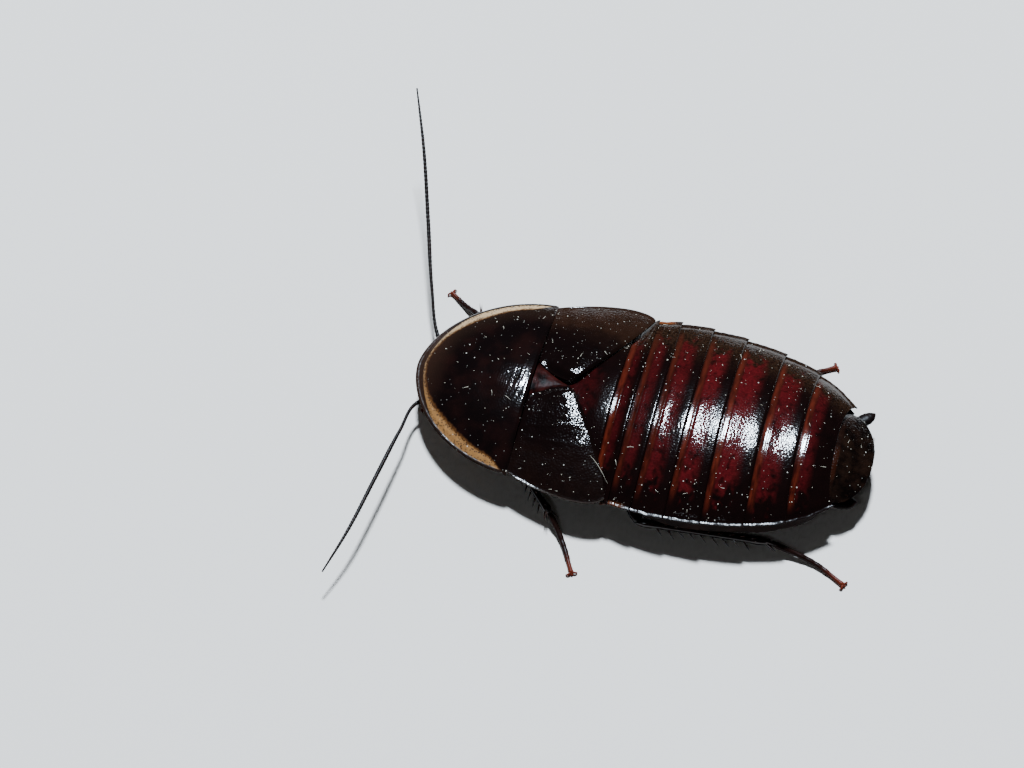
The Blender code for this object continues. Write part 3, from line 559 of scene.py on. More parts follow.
def shield_half_width(x):
    across = np.clip(1 - ((SHIELD_ARC - x) / SHIELD_ARC) ** 2, 0.0, 1.0)
    return SHIELD_HALF_WIDTH * across ** (1 / SHIELD_TAPER)


def shield_outline(u):
    """The edge of the shield, from the front round the right side, the hind margin and back."""
    side_share = (1 - HIND_SHARE) / 2
    end = math.acos(1 - SHIELD_LENGTH / SHIELD_ARC)
    turn = end * np.minimum(np.minimum(u, 1 - u) / side_share, 1.0)
    x = SHIELD_ARC * (1 - np.cos(turn))
    y = SHIELD_HALF_WIDTH * np.sin(turn) ** (2 / SHIELD_TAPER)
    behind = np.clip((u - side_share) / HIND_SHARE, 0.0, 1.0)
    return x, np.where((behind > 0) & (behind < 1), y * (1 - 2 * behind), np.where(u > 0.5, -y, y))


def shield_top(x, y):
    rise = 1 - np.clip(1 - x / SHIELD_RISE_LENGTH, 0.0, 1.0) ** 2
    t = np.clip(np.abs(y) / np.maximum(shield_half_width(x), 0.01), 0.0, 1.0)
    return SHIELD_EDGE_TOP + (SHIELD_CREST - SHIELD_EDGE_TOP) * rise * (1 - t ** DOME_POWER)


def shield_surface(u, v):
    edge_x, edge_y = shield_outline(u)
    share = 1 - (0.45 * v + 0.55 * v ** 2)
    x = SHIELD_MIDDLE + (edge_x - SHIELD_MIDDLE) * share
    y = edge_y * share
    inwards = (1 - share) * np.hypot(edge_x - SHIELD_MIDDLE, edge_y)
    fade = 1 - ease(edge_x, SHIELD_LENGTH - 1.2, SHIELD_LENGTH - 0.1)
    rim = (0.04 + 0.02 * relief(x, y, 0.5, 8.0)) * bead(inwards, *RIM_BEAD)
    rim = rim - 0.04 * bead(inwards, *RIM_GUTTER)
    lip = -LIP_DROP * ease(x, *LIP_PLACE)
    dents = -0.08 * bead(x, 7.2, 1.8) * bead(np.abs(y), 2.6, 1.1)
    folds = 0.055 * relief(x + 0.05 * y ** 2, y, (0.3, 2.8), 12.0) * bead(x, 10.2, 0.8) * bead(y, 0.0, 2.2)
    uneven = folds + 0.03 * relief(x, y, 1.5) + 0.004 * relief(x, y, 0.35, 4.0)
    return x, y, shield_top(x, y) + rim * fade + lip + dents + uneven * ease(inwards, 0.2, 1.2)


shield = bend_sheet("pronotum_shield_plate", 208, 46, shield_surface, UP)
weld(shield)
face_towards(shield, UP)
give_wall(shield, SHIELD_WALL, 0.07)
print("shield width in mm:", round(shield.dimensions.y / MM, 2))

# %% [markdown]
# ### The shield's finish
#
# A pale tan band runs inside the rim, widest at the shoulders and ending before the hind corners.
# It is speckled with brown along its inner edge and painted paler on the far side, as light falling
# there, and the rim outside it is dark. The disc is almost black with a maroon tint, glossy, with
# fine slanting scratches near its hind middle; near its far edge it is painted browner, as light
# falling there too. The distance from the outline is measured on every point, so the band keeps to the
# edge.

# %% Shield: the band's place
SHIELD_BAND_WIDTH = curve_through(((0.0, 1.0), (2.0, 1.05), (4.5, 1.3), (7.5, 1.15), (9.6, 0.85),
                                   (10.5, 0.3), (11.1, 0.08)))


def distance_to_outline(x, y):
    """Distance in millimetres from the arc round the front and sides of the shield."""
    u = np.concatenate([np.linspace(0.62, 1.0, 160), np.linspace(0.0, 0.38, 160)])
    edge_x, edge_y = shield_outline(u)
    return np.array([np.min(np.hypot(edge_x - a, edge_y - b)) for a, b in zip(x, y)])


shield_x, shield_y = body_places(shield)[:2]
shield_inwards = distance_to_outline(shield_x, shield_y)
note(shield, "inwards", shield_inwards)
note(shield, "band_place", shield_inwards / SHIELD_BAND_WIDTH(shield_x))
note(shield, "scratched", bead(shield_x, 9.4, 1.4) * bead(shield_y, 0.3, 3.0))
note(shield, "frontal", 1 - ease(shield_x, 0.6, 3.6))
# Painted light: how far a point lies on the far side, where the key light falls; the band is painted paler
# and the disc edge browner there.
note(shield, "lit_far_side", ease(shield_y, -4.0, 5.0))
print("farthest point from the shield's outline in mm:", round(float(shield_inwards.max()), 2))

# %% Shield: finish
SCRATCH_SLANT = math.radians(-14)
DISC_MAROON = (0.008, 0.0026, 0.0022)
RIM_BROWN = (0.012, 0.006, 0.004)
FRONT_BROWN = (0.03, 0.013, 0.008)
TAN = ((0.15, 0.062, 0.017), (0.38, 0.18, 0.052))
# Painted light: the paler tan of the band on the lit far side.
LIT_FAR_TAN = (0.5, 0.33, 0.17)
FRECKLE_BROWN = (0.025, 0.01, 0.005)
BAND_BROWN = (0.05, 0.018, 0.006)


def shield_finish():
    paint = Paint("shield_finish", specular_ior_level=0.4)
    inwards = paint.noted("inwards")
    band_place = paint.noted("band_place")
    frontal = paint.noted("frontal")
    blots = paint.cloud(2.2)
    disc = paint.mix(paint.step(blots, 0.4, 0.7), BLACK_BROWN, DISC_MAROON)
    # Painted light: the disc turns browner near its edge on the lit far side.
    disc = paint.mix(paint.step(inwards, 3.6, 1.0) * paint.noted("lit_far_side"), disc, RIM_BROWN)
    tan = paint.mix(paint.cloud(0.5), *TAN)
    # Painted light: the band is painted paler on the lit far side.
    tan = paint.mix(paint.noted("lit_far_side") * 0.7, tan, LIT_FAR_TAN)
    borders = paint.step(band_place, 0.6, 0.85) + paint.step(band_place, 0.55, 0.35)
    freckles = paint.dots(0.2, 0.1, 0.8) * borders + paint.dots(0.23, 0.09, 0.5)
    tan = paint.mix(paint.step(freckles, 0.1, 0.5) * 0.9, tan, FRECKLE_BROWN)
    frayed = band_place + (paint.cloud(0.3) - 0.5) * 0.3
    brown = paint.mix(paint.step(frayed, 0.72, 0.98), tan, BAND_BROWN)
    colour = paint.mix(paint.step(frayed, 0.94, 1.08), brown, disc)
    wavering = inwards - frontal * 0.45 + (paint.cloud(0.6) - 0.5) * 0.12
    on_rim = paint.step(wavering, 0.34, 0.24)
    colour = paint.mix(on_rim, colour, RIM_BROWN)
    colour = paint.mix(frontal * 0.5, colour, FRONT_BROWN)
    on_disc = paint.step(frayed, 0.75, 0.95)
    gloss = 0.4 - on_disc * 0.33 - on_rim * 0.2 + paint.cloud(0.45) * 0.04
    colour, gloss = dusted(paint, colour, gloss, 0.9)
    slanting = paint.node("ShaderNodeMapping", values={
        "Vector": paint.place, "Rotation": (0.0, 0.0, SCRATCH_SLANT), "Scale": (7000.0, 500.0, 500.0)})
    scratches = paint.node("ShaderNodeTexNoise", values={"Vector": slanting, "Scale": 1.0, "Detail": 1.0})
    scratched = paint.noted("scratched")
    height = paint.pits(0.2) + paint.cloud(0.5) * 0.5 + scratches * scratched * 2.0
    return paint.finish(colour, gloss, height, 0.008)


set_in_place(shield, shield_finish(), "pronotum_shield", "pronotum")

# %% [markdown]
# ## The wing covers
#
# The tegmina are short, leathery and stiff. Each is a four-sided patch between an inner, a hind
# and an outer curve, so one formula that blends its four edges gives every place on it. Main
# veins run as low ridges, a crease parts the duller outer field from the glossy inner one, and
# the inner and hind margins bend down to the plates under them, so no gap shows.

# %% Wing covers: shape
TEGMEN_EDGE_TOP = 3.4
TEGMEN_WALL = 0.18
TEGMEN_BACK = curve_through(((10.7, 5.2), (12.5, 5.48), (14.0, 5.72), (15.5, 5.88), (17.0, 5.93),
                             (21.0, 5.95)))
TEGMEN_HALF_WIDTH = curve_through(((11.2, 9.6), (12.0, 9.75), (15.0, 10.65), (18.0, 11.15), (20.5, 11.1)))
TEGMEN_INNER = ((10.7, 2.4), (12.2, 0.9), (13.6, 0.3), (14.85, 0.3))
TEGMEN_HIND = ((14.85, 0.3), (15.6, 1.3), (19.6, 7.0), (20.35, 10.2))
TEGMEN_OUTER = ((10.7, 9.3), (14.6, 11.0), (19.3, 11.7), (20.35, 10.2))
VEINS = ((0.26, 0.012), (0.4, 0.02), (0.54, 0.02))
CREASE = 0.66
ROOT_DIP = 0.08
INNER_DIP = 0.34
HIND_DIP = 0.1
HIND_TURN = 0.18
print("half width across the covers 18 mm back:", round(float(TEGMEN_HALF_WIDTH(18.0)), 2))

# %% Wing covers: surface


def bezier(points, t):
    a, b, c, d = (np.array(p)[:, None] for p in points)
    return (1 - t) ** 3 * a + 3 * t * (1 - t) ** 2 * b + 3 * t ** 2 * (1 - t) * c + t ** 3 * d


def tegmen_patch(u, v):
    """A place on the right cover: u runs from its inner to its outer edge, v rearwards."""
    corners = [np.array(p)[:, None] for p in (TEGMEN_INNER[0], TEGMEN_OUTER[0], TEGMEN_INNER[-1],
                                              TEGMEN_OUTER[-1])]
    front = corners[0] * (1 - u) + corners[1] * u
    blend = (corners[0] * (1 - u) * (1 - v) + corners[1] * u * (1 - v) + corners[2] * (1 - u) * v
             + corners[3] * u * v)
    inner, outer = bezier(TEGMEN_INNER, v), bezier(TEGMEN_OUTER, v)
    return front * (1 - v) + bezier(TEGMEN_HIND, u) * v + inner * (1 - u) + outer * u - blend


def tegmen_surface(sign):
    def surface(u, v):
        x, y = tegmen_patch(u, v)
        t = np.clip(np.abs(y) / TEGMEN_HALF_WIDTH(x), 0.0, 1.0)
        z = TEGMEN_EDGE_TOP + (TEGMEN_BACK(x) - TEGMEN_EDGE_TOP) * (1 - t ** DOME_POWER)
        z -= ROOT_DIP * (1 - ease(x, 10.9, 11.8))
        for place, height in VEINS:
            z += height * bead(u, place + 0.06 * v, 0.02) * ease(v, 0.02, 0.2) * (1 - ease(v, 0.75, 0.97))
        z -= 0.015 * bead(u, CREASE + 0.06 * v, 0.04) * ease(v, 0.0, 0.15) * (1 - ease(v, 0.9, 1.0))
        z -= INNER_DIP * (1 - ease(u, 0.0, 0.13)) * ease(v, 0.1, 0.4)
        hind = HIND_DIP * ease(v, 0.7, 1.0) + HIND_TURN * ease(v, 0.93, 1.02)
        z -= hind * (1 - 0.7 * ease(u, 0.6, 0.9))
        z += 0.1 * bead(u, 0.16, 0.18) * bead(v, 0.85, 0.3)
        z += 0.04 * bead(u, 1.0, 0.02)
        rough = 0.008 * relief(x, y, 0.4, 1.0) + 0.004 * relief(x, y, 0.2, 2.0)
        z += rough * (1 - 0.6 * ease(u, 0.6, 0.75)) + 0.03 * relief(x, y, 1.9, 3.0)
        return x, sign * y, z
    return surface


tegmina = []
for side, sign in SIDES:
    cover = bend_sheet(f"wing_cover_{side}", 110, 100, tegmen_surface(sign), UP)
    give_wall(cover, TEGMEN_WALL, 0.06)
    tegmina.append(cover)
print("wing cover length in mm:", round(tegmina[0].dimensions.x / MM, 2))

# %% [markdown]
# ### The wing covers' finish
#
# Along the grid that each cover came from, the first number of its own map runs from the inner
# to the outer edge. The inner field is black, glossy and pitted like fine leather, so its
# highlight breaks up into sparks. The outer field is browner and duller; on the far cover it is
# painted lighter and browner still, as light falling on that side, and its very edge is painted
# greyish as a highlight along the rim.

# %% Wing covers: finish
COVER_BLACK = ((0.0018, 0.001, 0.001), (0.005, 0.002, 0.0018))
# Painted highlight: the greyish line along the covers' outer edge.
COVER_EDGE_HIGHLIGHT = (0.03, 0.022, 0.018)


def wing_finish(name, outer_dark, outer_light):
    paint = Paint(name, specular_ior_level=0.28)
    own_map = paint.node("ShaderNodeTexCoord", out="UV")
    own_map = paint.node("ShaderNodeSeparateXYZ", values={"Vector": own_map}, out="X")
    wandering = own_map + (paint.cloud(1.5) - 0.5) * 0.2
    outer = paint.step(wandering, CREASE - 0.24, CREASE + 0.2)
    inner_colour = paint.mix(paint.cloud(0.8), *COVER_BLACK)
    outer_colour = paint.mix(paint.cloud(1.0), outer_dark, outer_light)
    colour = paint.mix(outer, inner_colour, outer_colour)
    vein = paint.step(wandering, CREASE - 0.07, CREASE) * paint.step(wandering, CREASE + 0.07, CREASE)
    colour = paint.mix(vein * 0.2, colour, outer_light)
    # Painted highlight along the outer edge of the cover.
    colour = paint.mix(paint.step(own_map, 0.985, 0.995), colour, COVER_EDGE_HIGHLIGHT)
    gloss = 0.07 + outer * 0.1 + paint.cloud(0.5) * 0.04
    colour, gloss = dusted(paint, colour, gloss, 1.1)
    granules = paint.cloud(0.4) * 0.4 - paint.pits(0.19)
    return paint.finish(colour, gloss, granules, 0.02)


# Painted light: the right cover lies on the far side, so its outer field is painted lighter and browner
# than the left one's.
tegmen_paints = (wing_finish("left_wing_cover_finish", (0.002, 0.001, 0.001), (0.008, 0.0028, 0.0018)),
                 wing_finish("right_wing_cover_lit_side_finish", (0.008, 0.0034, 0.002), (0.026, 0.01, 0.005)))
for (side, sign), cover, finish in zip(SIDES, tegmina, tegmen_paints):
    set_in_place(cover, finish, "wing_cover", f"tegmen_{side}")

# %% [markdown]
# ## The rings of the back
#
# The back behind the covers is the metanotum and seven abdominal tergites. Each is a wide sheet
# bent over the body. Its front strip is tucked under the plate before it, then comes a smooth
# trough that shows as an orange-red stripe, and its hind edge rises a little over the next one.
# At the sides the plates end in a thin knobbly rolled rim, a little higher on the near side, where
# it catches the light. Their hind corners sweep back, which gives the body its saw-toothed
# outline. One surface formula with the numbers of each plate makes all of them.

# %% Back plates: sizes
EDGE_TOP = 3.5
TUCK = 0.7
PLATE_WALL = 0.14
PLATE_ROUNDING = 0.04
FAN = math.radians(78)
HIND_GROOVE = 0.07
PLATE_RIM = 0.06
NEAR_RIM_EXTRA = 0.05
RIM_KNOBS = 0.055
PLATE_RIM_WIDTH = 0.36
LAST_TERGITE = 7
SEAMS = ((18.85, 0.0), (20.7, 0.0), (22.95, -0.15), (25.9, 0.0), (29.0, 0.2), (32.75, 0.3), (36.15, 0.45),
         (39.4, 1.0))
ABDOMEN_HALF_WIDTH = curve_through(((20.7, 10.5), (24.0, 10.8), (27.0, 10.7), (30.0, 10.35), (33.0, 9.7),
                                    (36.0, 8.65), (38.5, 7.2), (40.5, 5.4)))
ABDOMEN_BACK = curve_through(((20.7, 5.85), (24.0, 6.1), (27.0, 6.25), (30.0, 6.25), (33.0, 6.05),
                              (36.0, 5.87), (37.3, 5.8), (38.4, 5.4), (39.4, 4.8)))
THORAX_HALF_WIDTH = curve_through(((7.6, 4.6), (9.0, 5.6), (11.0, 7.6), (13.0, 8.3), (15.0, 8.8),
                                   (17.0, 9.3), (19.0, 9.8), (20.6, 10.1)))
THORAX_BACK = curve_through(((11.0, 4.6), (13.0, 4.8), (15.0, 4.95), (17.0, 5.15), (19.0, 5.5),
                             (20.6, 5.85)))
WAIST_HALF_WIDTH = curve_through(((18.0, 9.55), (19.4, 9.95), (20.7, 10.5)))
WAIST_BACK = curve_through(((18.0, 5.7), (19.4, 5.75), (20.7, 5.85)))
BACK_EDGE = curve_through(((18.0, 2.8), (18.8, 2.85), (20.2, 3.3), (20.9, EDGE_TOP)))
print("seams of the back in mm:", [middle for middle, sweep in SEAMS])

# %% Back plates: surface


def across_share(u):
    """From -1 to 1 across a plate, with more grid lines near both margins."""
    return np.sin((2 * u - 1) * FAN) / math.sin(FAN)


def back_surface(front, rear, half_width, back, edge, seed, rolled=1.0, settled=HIND_GROOVE):
    """The surface of one plate between two seams, each given as (middle, sweep of the corners)."""
    length = rear[0] - front[0]

    def surface(u, v):
        t = across_share(u)
        s = -TUCK + (length + TUCK) * v
        share = np.clip(s / length, 0.0, 1.0)
        sweep = (front[1] + (rear[1] - front[1]) * share) * np.abs(t) ** 3
        corner = 0.12 * ease(np.abs(t), 0.96, 1.0) * share * rolled
        x = front[0] + s + sweep + corner
        wide = half_width(x) - 0.08 + 0.16 * share
        y = t * wide
        inwards = (1 - np.abs(t)) * wide
        edge_top = edge(front[0] + s)
        z = edge_top + (back(front[0] + s) - edge_top) * (1 - np.abs(t) ** DOME_POWER)
        lift = -0.24 + 0.12 * ease(s, -TUCK, 0.0) + 0.06 * ease(s, 0.3, 0.75)
        z += lift + 0.13 * ease(share, 0.3, 1.0)
        z += -0.03 * bead(s, 0.62, 0.07) - settled * bead(s, length, 0.1)
        knobbly = PLATE_RIM + NEAR_RIM_EXTRA * ease(-y, 0.0, 4.0) + RIM_KNOBS * relief(x, y, 0.4, seed + 7)
        z += rolled * (knobbly * (1 - ease(inwards, 0.0, PLATE_RIM_WIDTH)) - 0.02 * bead(inwards, 0.5, 0.2))
        grain = ease(s, 0.55, 1.3) * (1 - ease(s, length - 0.35, length - 0.1)) * ease(inwards, 0.3, 0.9)
        z += grain * (0.004 * relief(x, y, (0.3, 1.5), seed) + 0.004 * relief(x, y, 0.3, seed + 5))
        z += 0.035 * relief(x, y, (1.4, 2.4), seed + 9)
        return x, y, z
    return surface


print("the tenth grid line of a hundred lies at", round(float(across_share(0.1)), 3))

# %% Back plates: shape
back_plates = []
for number, (front, rear) in enumerate(zip(SEAMS, SEAMS[1:]), start=1):
    first = number == 1
    width, back = (WAIST_HALF_WIDTH, WAIST_BACK) if first else (ABDOMEN_HALF_WIDTH, ABDOMEN_BACK)
    surface = back_surface(front, rear, width, back, BACK_EDGE, number, 0.3 if first else 1.0,
                           0.0 if number == LAST_TERGITE else HIND_GROOVE)
    plate = bend_sheet(f"tergite_{number}", 190, 44, surface, UP)
    give_wall(plate, PLATE_WALL, PLATE_ROUNDING)
    back_plates.append(plate)
METANOTUM_BACK = curve_through(((13.0, 4.95), (15.0, 5.22), (17.0, 5.58), (18.85, 5.78)))
metanotum = bend_sheet("metanotum_plate", 150, 50, back_surface(
    (14.2, 0.0), (18.85, 0.1), THORAX_HALF_WIDTH, METANOTUM_BACK, BACK_EDGE, 20, 0.0), UP)
give_wall(metanotum, PLATE_WALL, PLATE_ROUNDING)
print("plates of the back:", len(back_plates) + 1)

# %% [markdown]
# ### The finish of the back plates
#
# Each plate is noted with how far a point lies behind the seam before it, in millimetres, how
# far out it lies, from 0 in the middle to 1 at the edge, and how far it lies on the lit far side.
# The stripe, the dark red field and the blackish hind edge are set out by the first number, and
# the second one lets the red die away towards the sides, where dark blots and a finely freckled
# margin take over. On the far side the margin is painted browner and the stripe browner and
# paler, as light falling on that side. The last plate's red ends sooner, and the front corners of
# the second show an orange spot, painted stronger on the lit far side.

# %% Back plates: finish
STRIPE_WIDTH = 0.55
RED = ((0.018, 0.0014, 0.0018), (0.085, 0.0055, 0.0065))
PLATE_BLACK = ((0.002, 0.001, 0.001), (0.006, 0.0018, 0.0016))
# Painted light: the brown of the plate margins on the lit far side.
LIT_MARGIN_BROWN = ((0.005, 0.0022, 0.0014), (0.024, 0.011, 0.0055))
ORANGE = ((0.018, 0.0024, 0.0016), (0.085, 0.0115, 0.005))
# Painted light: the browner, paler stripe on the lit far side.
LIT_FAR_ORANGE = (0.05, 0.009, 0.005)
SPOT_ORANGE = (0.14, 0.036, 0.009)


def back_finish(name, length, red, red_reach=(0.95, 0.5), stripe_strength=1.0, corner_spot=0.0,
                shine=0.26):
    paint = Paint(name, specular_ior_level=shine)
    behind = paint.noted("behind") + (paint.cloud(0.5) - 0.5) * 0.12
    outwards = paint.noted("outwards") + (paint.cloud(1.6) - 0.5) * 0.16
    blots = paint.cloud(1.1)
    # Painted light: how far a point lies on the lit far side.
    lit_far_side = paint.noted("lit_far_side")
    grains = paint.step(paint.cloud(0.22), 0.3, 0.7)
    red_field = paint.mix(blots * 0.6 + grains * 0.4, *RED)
    dark = paint.mix(blots, *PLATE_BLACK)
    brown = paint.mix(grains, *LIT_MARGIN_BROWN)
    # Painted light: the margin turns brown on the lit far side.
    dark = paint.mix(lit_far_side * paint.step(outwards, 0.4, 0.85), dark, brown)
    inside = paint.step(outwards, *red_reach)
    field = paint.step(behind, 0.4, 0.8) * paint.step(behind, length * 0.82, length * 0.48)
    mottled = paint.step(paint.cloud(0.7, 0.9, detail=1.5), 0.62 - inside * 0.42, 0.9 - inside * 0.38)
    colour = paint.mix(field * mottled * red, dark, red_field)
    orange = paint.mix(paint.step(paint.cloud(0.4, 1.6), 0.25, 0.7), *ORANGE)
    # Painted light: the stripe turns browner and paler on the lit far side.
    orange = paint.mix(lit_far_side * 0.6, orange, LIT_FAR_ORANGE)
    stripe = paint.step(behind, -0.05, 0.25) * paint.step(behind, STRIPE_WIDTH + 0.2, STRIPE_WIDTH - 0.2)
    reach = paint.step(outwards, 0.92, 0.7)
    colour = paint.mix(stripe * reach * stripe_strength, colour, orange)
    corner = paint.step(paint.noted("outwards"), 0.95, 0.98) * paint.step(behind, 1.8, 1.0)
    # The orange corner spot is the plate's own colour; it is painted stronger on the lit far side.
    colour = paint.mix(corner * corner_spot * (0.4 + lit_far_side * 0.6), colour, SPOT_ORANGE)
    gloss = 0.075 + paint.step(behind, length * 0.4, length * 0.9) * 0.03 + paint.cloud(0.4) * 0.04
    gloss = gloss + paint.step(paint.noted("outwards"), 0.955, 0.985) * 0.18
    colour, gloss = dusted(paint, colour, gloss, 1.0)
    rough_part = paint.step(behind, STRIPE_WIDTH, STRIPE_WIDTH + 0.5)
    streaks = paint.cloud(0.2, 1.5, detail=1.0)
    height = (streaks * 0.6 - paint.pits(0.17) * 1.5) * (0.4 + rough_part * 0.6) + paint.cloud(0.5) * 0.4
    return paint.finish(colour, gloss, height, 0.008)


print("stripe width in mm:", STRIPE_WIDTH)

# %% Back plates: each plate's own numbers


def note_plate(plate, front, half_width):
    x, y = body_places(plate)[:2]
    out = np.clip(np.abs(y) / half_width(x), 0.0, 1.0)
    note(plate, "behind", x - front[0] - front[1] * out ** 3)
    note(plate, "outwards", out)
    # Painted light: how far a point lies on the lit far side, where margin and stripe are painted browner.
    note(plate, "lit_far_side", ease(y, -1.0, 6.0))


REDNESS = (0.5, 0.6, 0.8, 1.0, 1.0, 0.85, 0.65)
STRIPE_STRENGTH = (1.0, 0.55, 0.6, 0.8, 1.0, 1.0, 1.0)
LAST_RED_SHARE = 0.72
for number, plate in enumerate(back_plates, start=1):
    front, rear = SEAMS[number - 1], SEAMS[number]
    note_plate(plate, front, WAIST_HALF_WIDTH if number == 1 else ABDOMEN_HALF_WIDTH)
    length = (rear[0] - front[0]) * (LAST_RED_SHARE if number == LAST_TERGITE else 1.0)
    finish = back_finish(f"tergite_{number}_finish", length, REDNESS[number - 1],
                         stripe_strength=STRIPE_STRENGTH[number - 1],
                         corner_spot=1.0 if number == 2 else 0.0, shine=0.08 if number == 1 else 0.26)
    set_in_place(plate, finish, "tergite_cuticle")
note_plate(metanotum, (14.0, 0.0), THORAX_HALF_WIDTH)
set_in_place(metanotum, back_finish("metanotum_finish", 4.85, 0.3, (0.42, 0.12), 0.0), "tergite_cuticle")

# %% [markdown]
# ## The mesonotum and its scutellum
#
# Between the roots of the wing covers the middle plate of the thorax shows. It is bent like the
# other back plates, and a low triangular boss with a keel rises in its middle, the scutellum.

# %% Mesonotum
MESONOTUM_FRONT, MESONOTUM_LENGTH, MESONOTUM_TOP = 10.0, 5.6, 5.35
SCUTELLUM_HALF_WIDTH, SCUTELLUM_LENGTH = 2.3, 4.4


def mesonotum_surface(u, v):
    x = MESONOTUM_FRONT + MESONOTUM_LENGTH * v
    behind = x - MESONOTUM_FRONT
    wide = 5.2 - 0.52 * behind
    y = (2 * u - 1) * wide
    z = MESONOTUM_TOP - 0.15 * behind + 0.11 * np.maximum(x - 11.8, 0.0) - 0.05 * y ** 2
    reach = SCUTELLUM_HALF_WIDTH * (1 - behind / SCUTELLUM_LENGTH)
    boss = ease(reach - np.abs(y), -0.15, 0.35)
    z += 0.1 * boss + 0.03 * bead(y, 0, 0.3) * boss - 0.04 * bead(reach - np.abs(y), -0.25, 0.14)
    return x, y, z + 0.01 * relief(x, y, 0.3, 40.0) + 0.02 * relief(x, y, 1.0, 41.0)


mesonotum = bend_sheet("mesonotum_plate", 90, 70, mesonotum_surface, UP)
give_wall(mesonotum, PLATE_WALL, PLATE_ROUNDING)
mesonotum_finish = plain_cuticle("mesonotum_finish", (0.002, 0.0009, 0.0009), (0.03, 0.0055, 0.0045),
                                 0.35, blot=0.9, shine=0.02)
set_in_place(mesonotum, mesonotum_finish, "thorax_cuticle")

# %% [markdown]
# ## The plates of the belly
#
# Below, the sternites are built as the back plates are, with a flatter, boat-shaped section. The
# animal rests on the fourth to sixth, so they are flat at the floor.

# %% Belly plates
EDGE_LOW = 3.0
BELLY_POWER = 3.0
BELLY_DEPTH = curve_through(((6.0, 1.9), (10.0, 2.2), (18.85, 2.35), (20.7, 2.3), (22.4, 2.15),
                             (24.0, 1.55), (25.5, 0.6), (26.5, 0.18), (27.3, 0.02), (28.2, 0.0),
                             (30.6, 0.0), (33.2, 0.0), (34.2, 0.04), (35.2, 0.14), (36.5, 0.35),
                             (39.4, 0.95)))


def belly_surface(front, rear, half_width, seed):
    length = rear[0] - front[0]

    def surface(u, v):
        t = across_share(u)
        s = -TUCK + (length + TUCK) * v
        share = np.clip(s / length, 0.0, 1.0)
        x = front[0] + s + (front[1] + (rear[1] - front[1]) * share) * np.abs(t) ** 3
        wide = half_width(x) - 0.3
        low = BELLY_DEPTH(front[0] + s)
        z = EDGE_LOW - (EDGE_LOW - low) * (1 - np.abs(t) ** BELLY_POWER)
        z += 0.2 - 0.1 * ease(s, -TUCK, 0.0) - 0.1 * ease(share, 0.2, 1.0) + 0.05 * bead(s, length, 0.07)
        z += 0.02 * relief(x, t * wide, 1.2, seed) + 0.008 * relief(x, t * wide, 0.35, seed)
        return x, t * wide, np.maximum(z, 0.0)
    return surface


belly_finish = plain_cuticle("belly_finish", (0.004, 0.002, 0.0016), (0.022, 0.006, 0.004), 0.5, shine=0.1)
for number, (front, rear) in enumerate(zip(SEAMS[1:], SEAMS[2:]), start=2):
    surface = belly_surface(front, rear, ABDOMEN_HALF_WIDTH, number)
    plate = bend_sheet(f"sternite_{number}", 120, 26, surface, -UP)
    give_wall(plate, PLATE_WALL, PLATE_ROUNDING)
    set_in_place(plate, belly_finish, "tergite_cuticle")

# %% [markdown]
# ## The body inside the plates
#
# Between the plates shows the soft skin of the body. It is one closed form from the neck to the
# tail: a ball drawn out along the middle line, a little smaller than the plates, and it stands
# for the solids of the thorax and abdomen.

# %% Body core
CORE_RINGS = 80
CORE_WIDTH = curve_through(((7.0, 3.4), (9.0, 5.2), (11.0, 7.1), (14.0, 8.2), (17.0, 8.9), (20.0, 9.6),
                            (24.0, 10.2), (28.0, 10.1), (32.0, 9.4), (36.0, 8.2), (38.5, 6.7), (40.4, 4.4)))
CORE_FRONT, CORE_LENGTH = 7.0, 33.4


def core_form():
    """A ball whose rings become sections of the body, a little inside its plates."""
    pick()
    bpy.ops.mesh.primitive_uv_sphere_add(segments=96, ring_count=CORE_RINGS, radius=1.0)
    core = name_new("body_core")
    a, b, c = raw_points(core)
    share = np.arccos(np.clip(c, -1, 1)) / math.pi
    around = np.maximum(np.sqrt(a * a + b * b), 1e-6)
    t = np.clip(a / around, -1, 1)
    x = CORE_FRONT + CORE_LENGTH * share
    closing = np.sqrt(np.clip(np.minimum(share, 1 - share) * 25, 0, 1))
    y = t * CORE_WIDTH(x) * closing
    across = np.abs(y) / (CORE_WIDTH(x) + 0.3)
    thorax = 1 - ease(x, 19.0, 21.0)
    back = thorax * THORAX_BACK(x) + (1 - thorax) * ABDOMEN_BACK(x)
    edge = BACK_EDGE(x)
    top = edge + (back - edge) * (1 - across ** DOME_POWER) - 0.45
    low = np.maximum(EDGE_LOW - (EDGE_LOW - BELLY_DEPTH(x)) * (1 - across ** BELLY_POWER), 0.0) + 0.35
    middle = (edge + BELLY_DEPTH(x)) / 2
    rise = np.abs(b) / around
    swell = np.minimum(closing, ease(rise, 0.0, 0.5))
    upper_half = middle + np.maximum(top - middle, 0.05) * swell
    lower_half = middle - np.maximum(middle - low, 0.05) * swell
    z = np.where(b >= 0, upper_half, lower_half)
    move_points(core, x, y, z)
    weld(core, 0.01)
    return core


core = core_form()
CORE_NODES = ["prothorax", "mesothorax", "metathorax"] + [f"abdomen_segment_{k}" for k in range(1, 8)]
set_in_place(core, membrane_finish, "limb_cuticle", *CORE_NODES)

# %% [markdown]
# ## The tip of the abdomen
#
# A broad black plate closes the abdomen above and a smaller one below. Between them on each side
# a short, leaf-shaped feeler, the cercus, looks out: the left one lies along the plate's edge and
# the right one stands out from it.

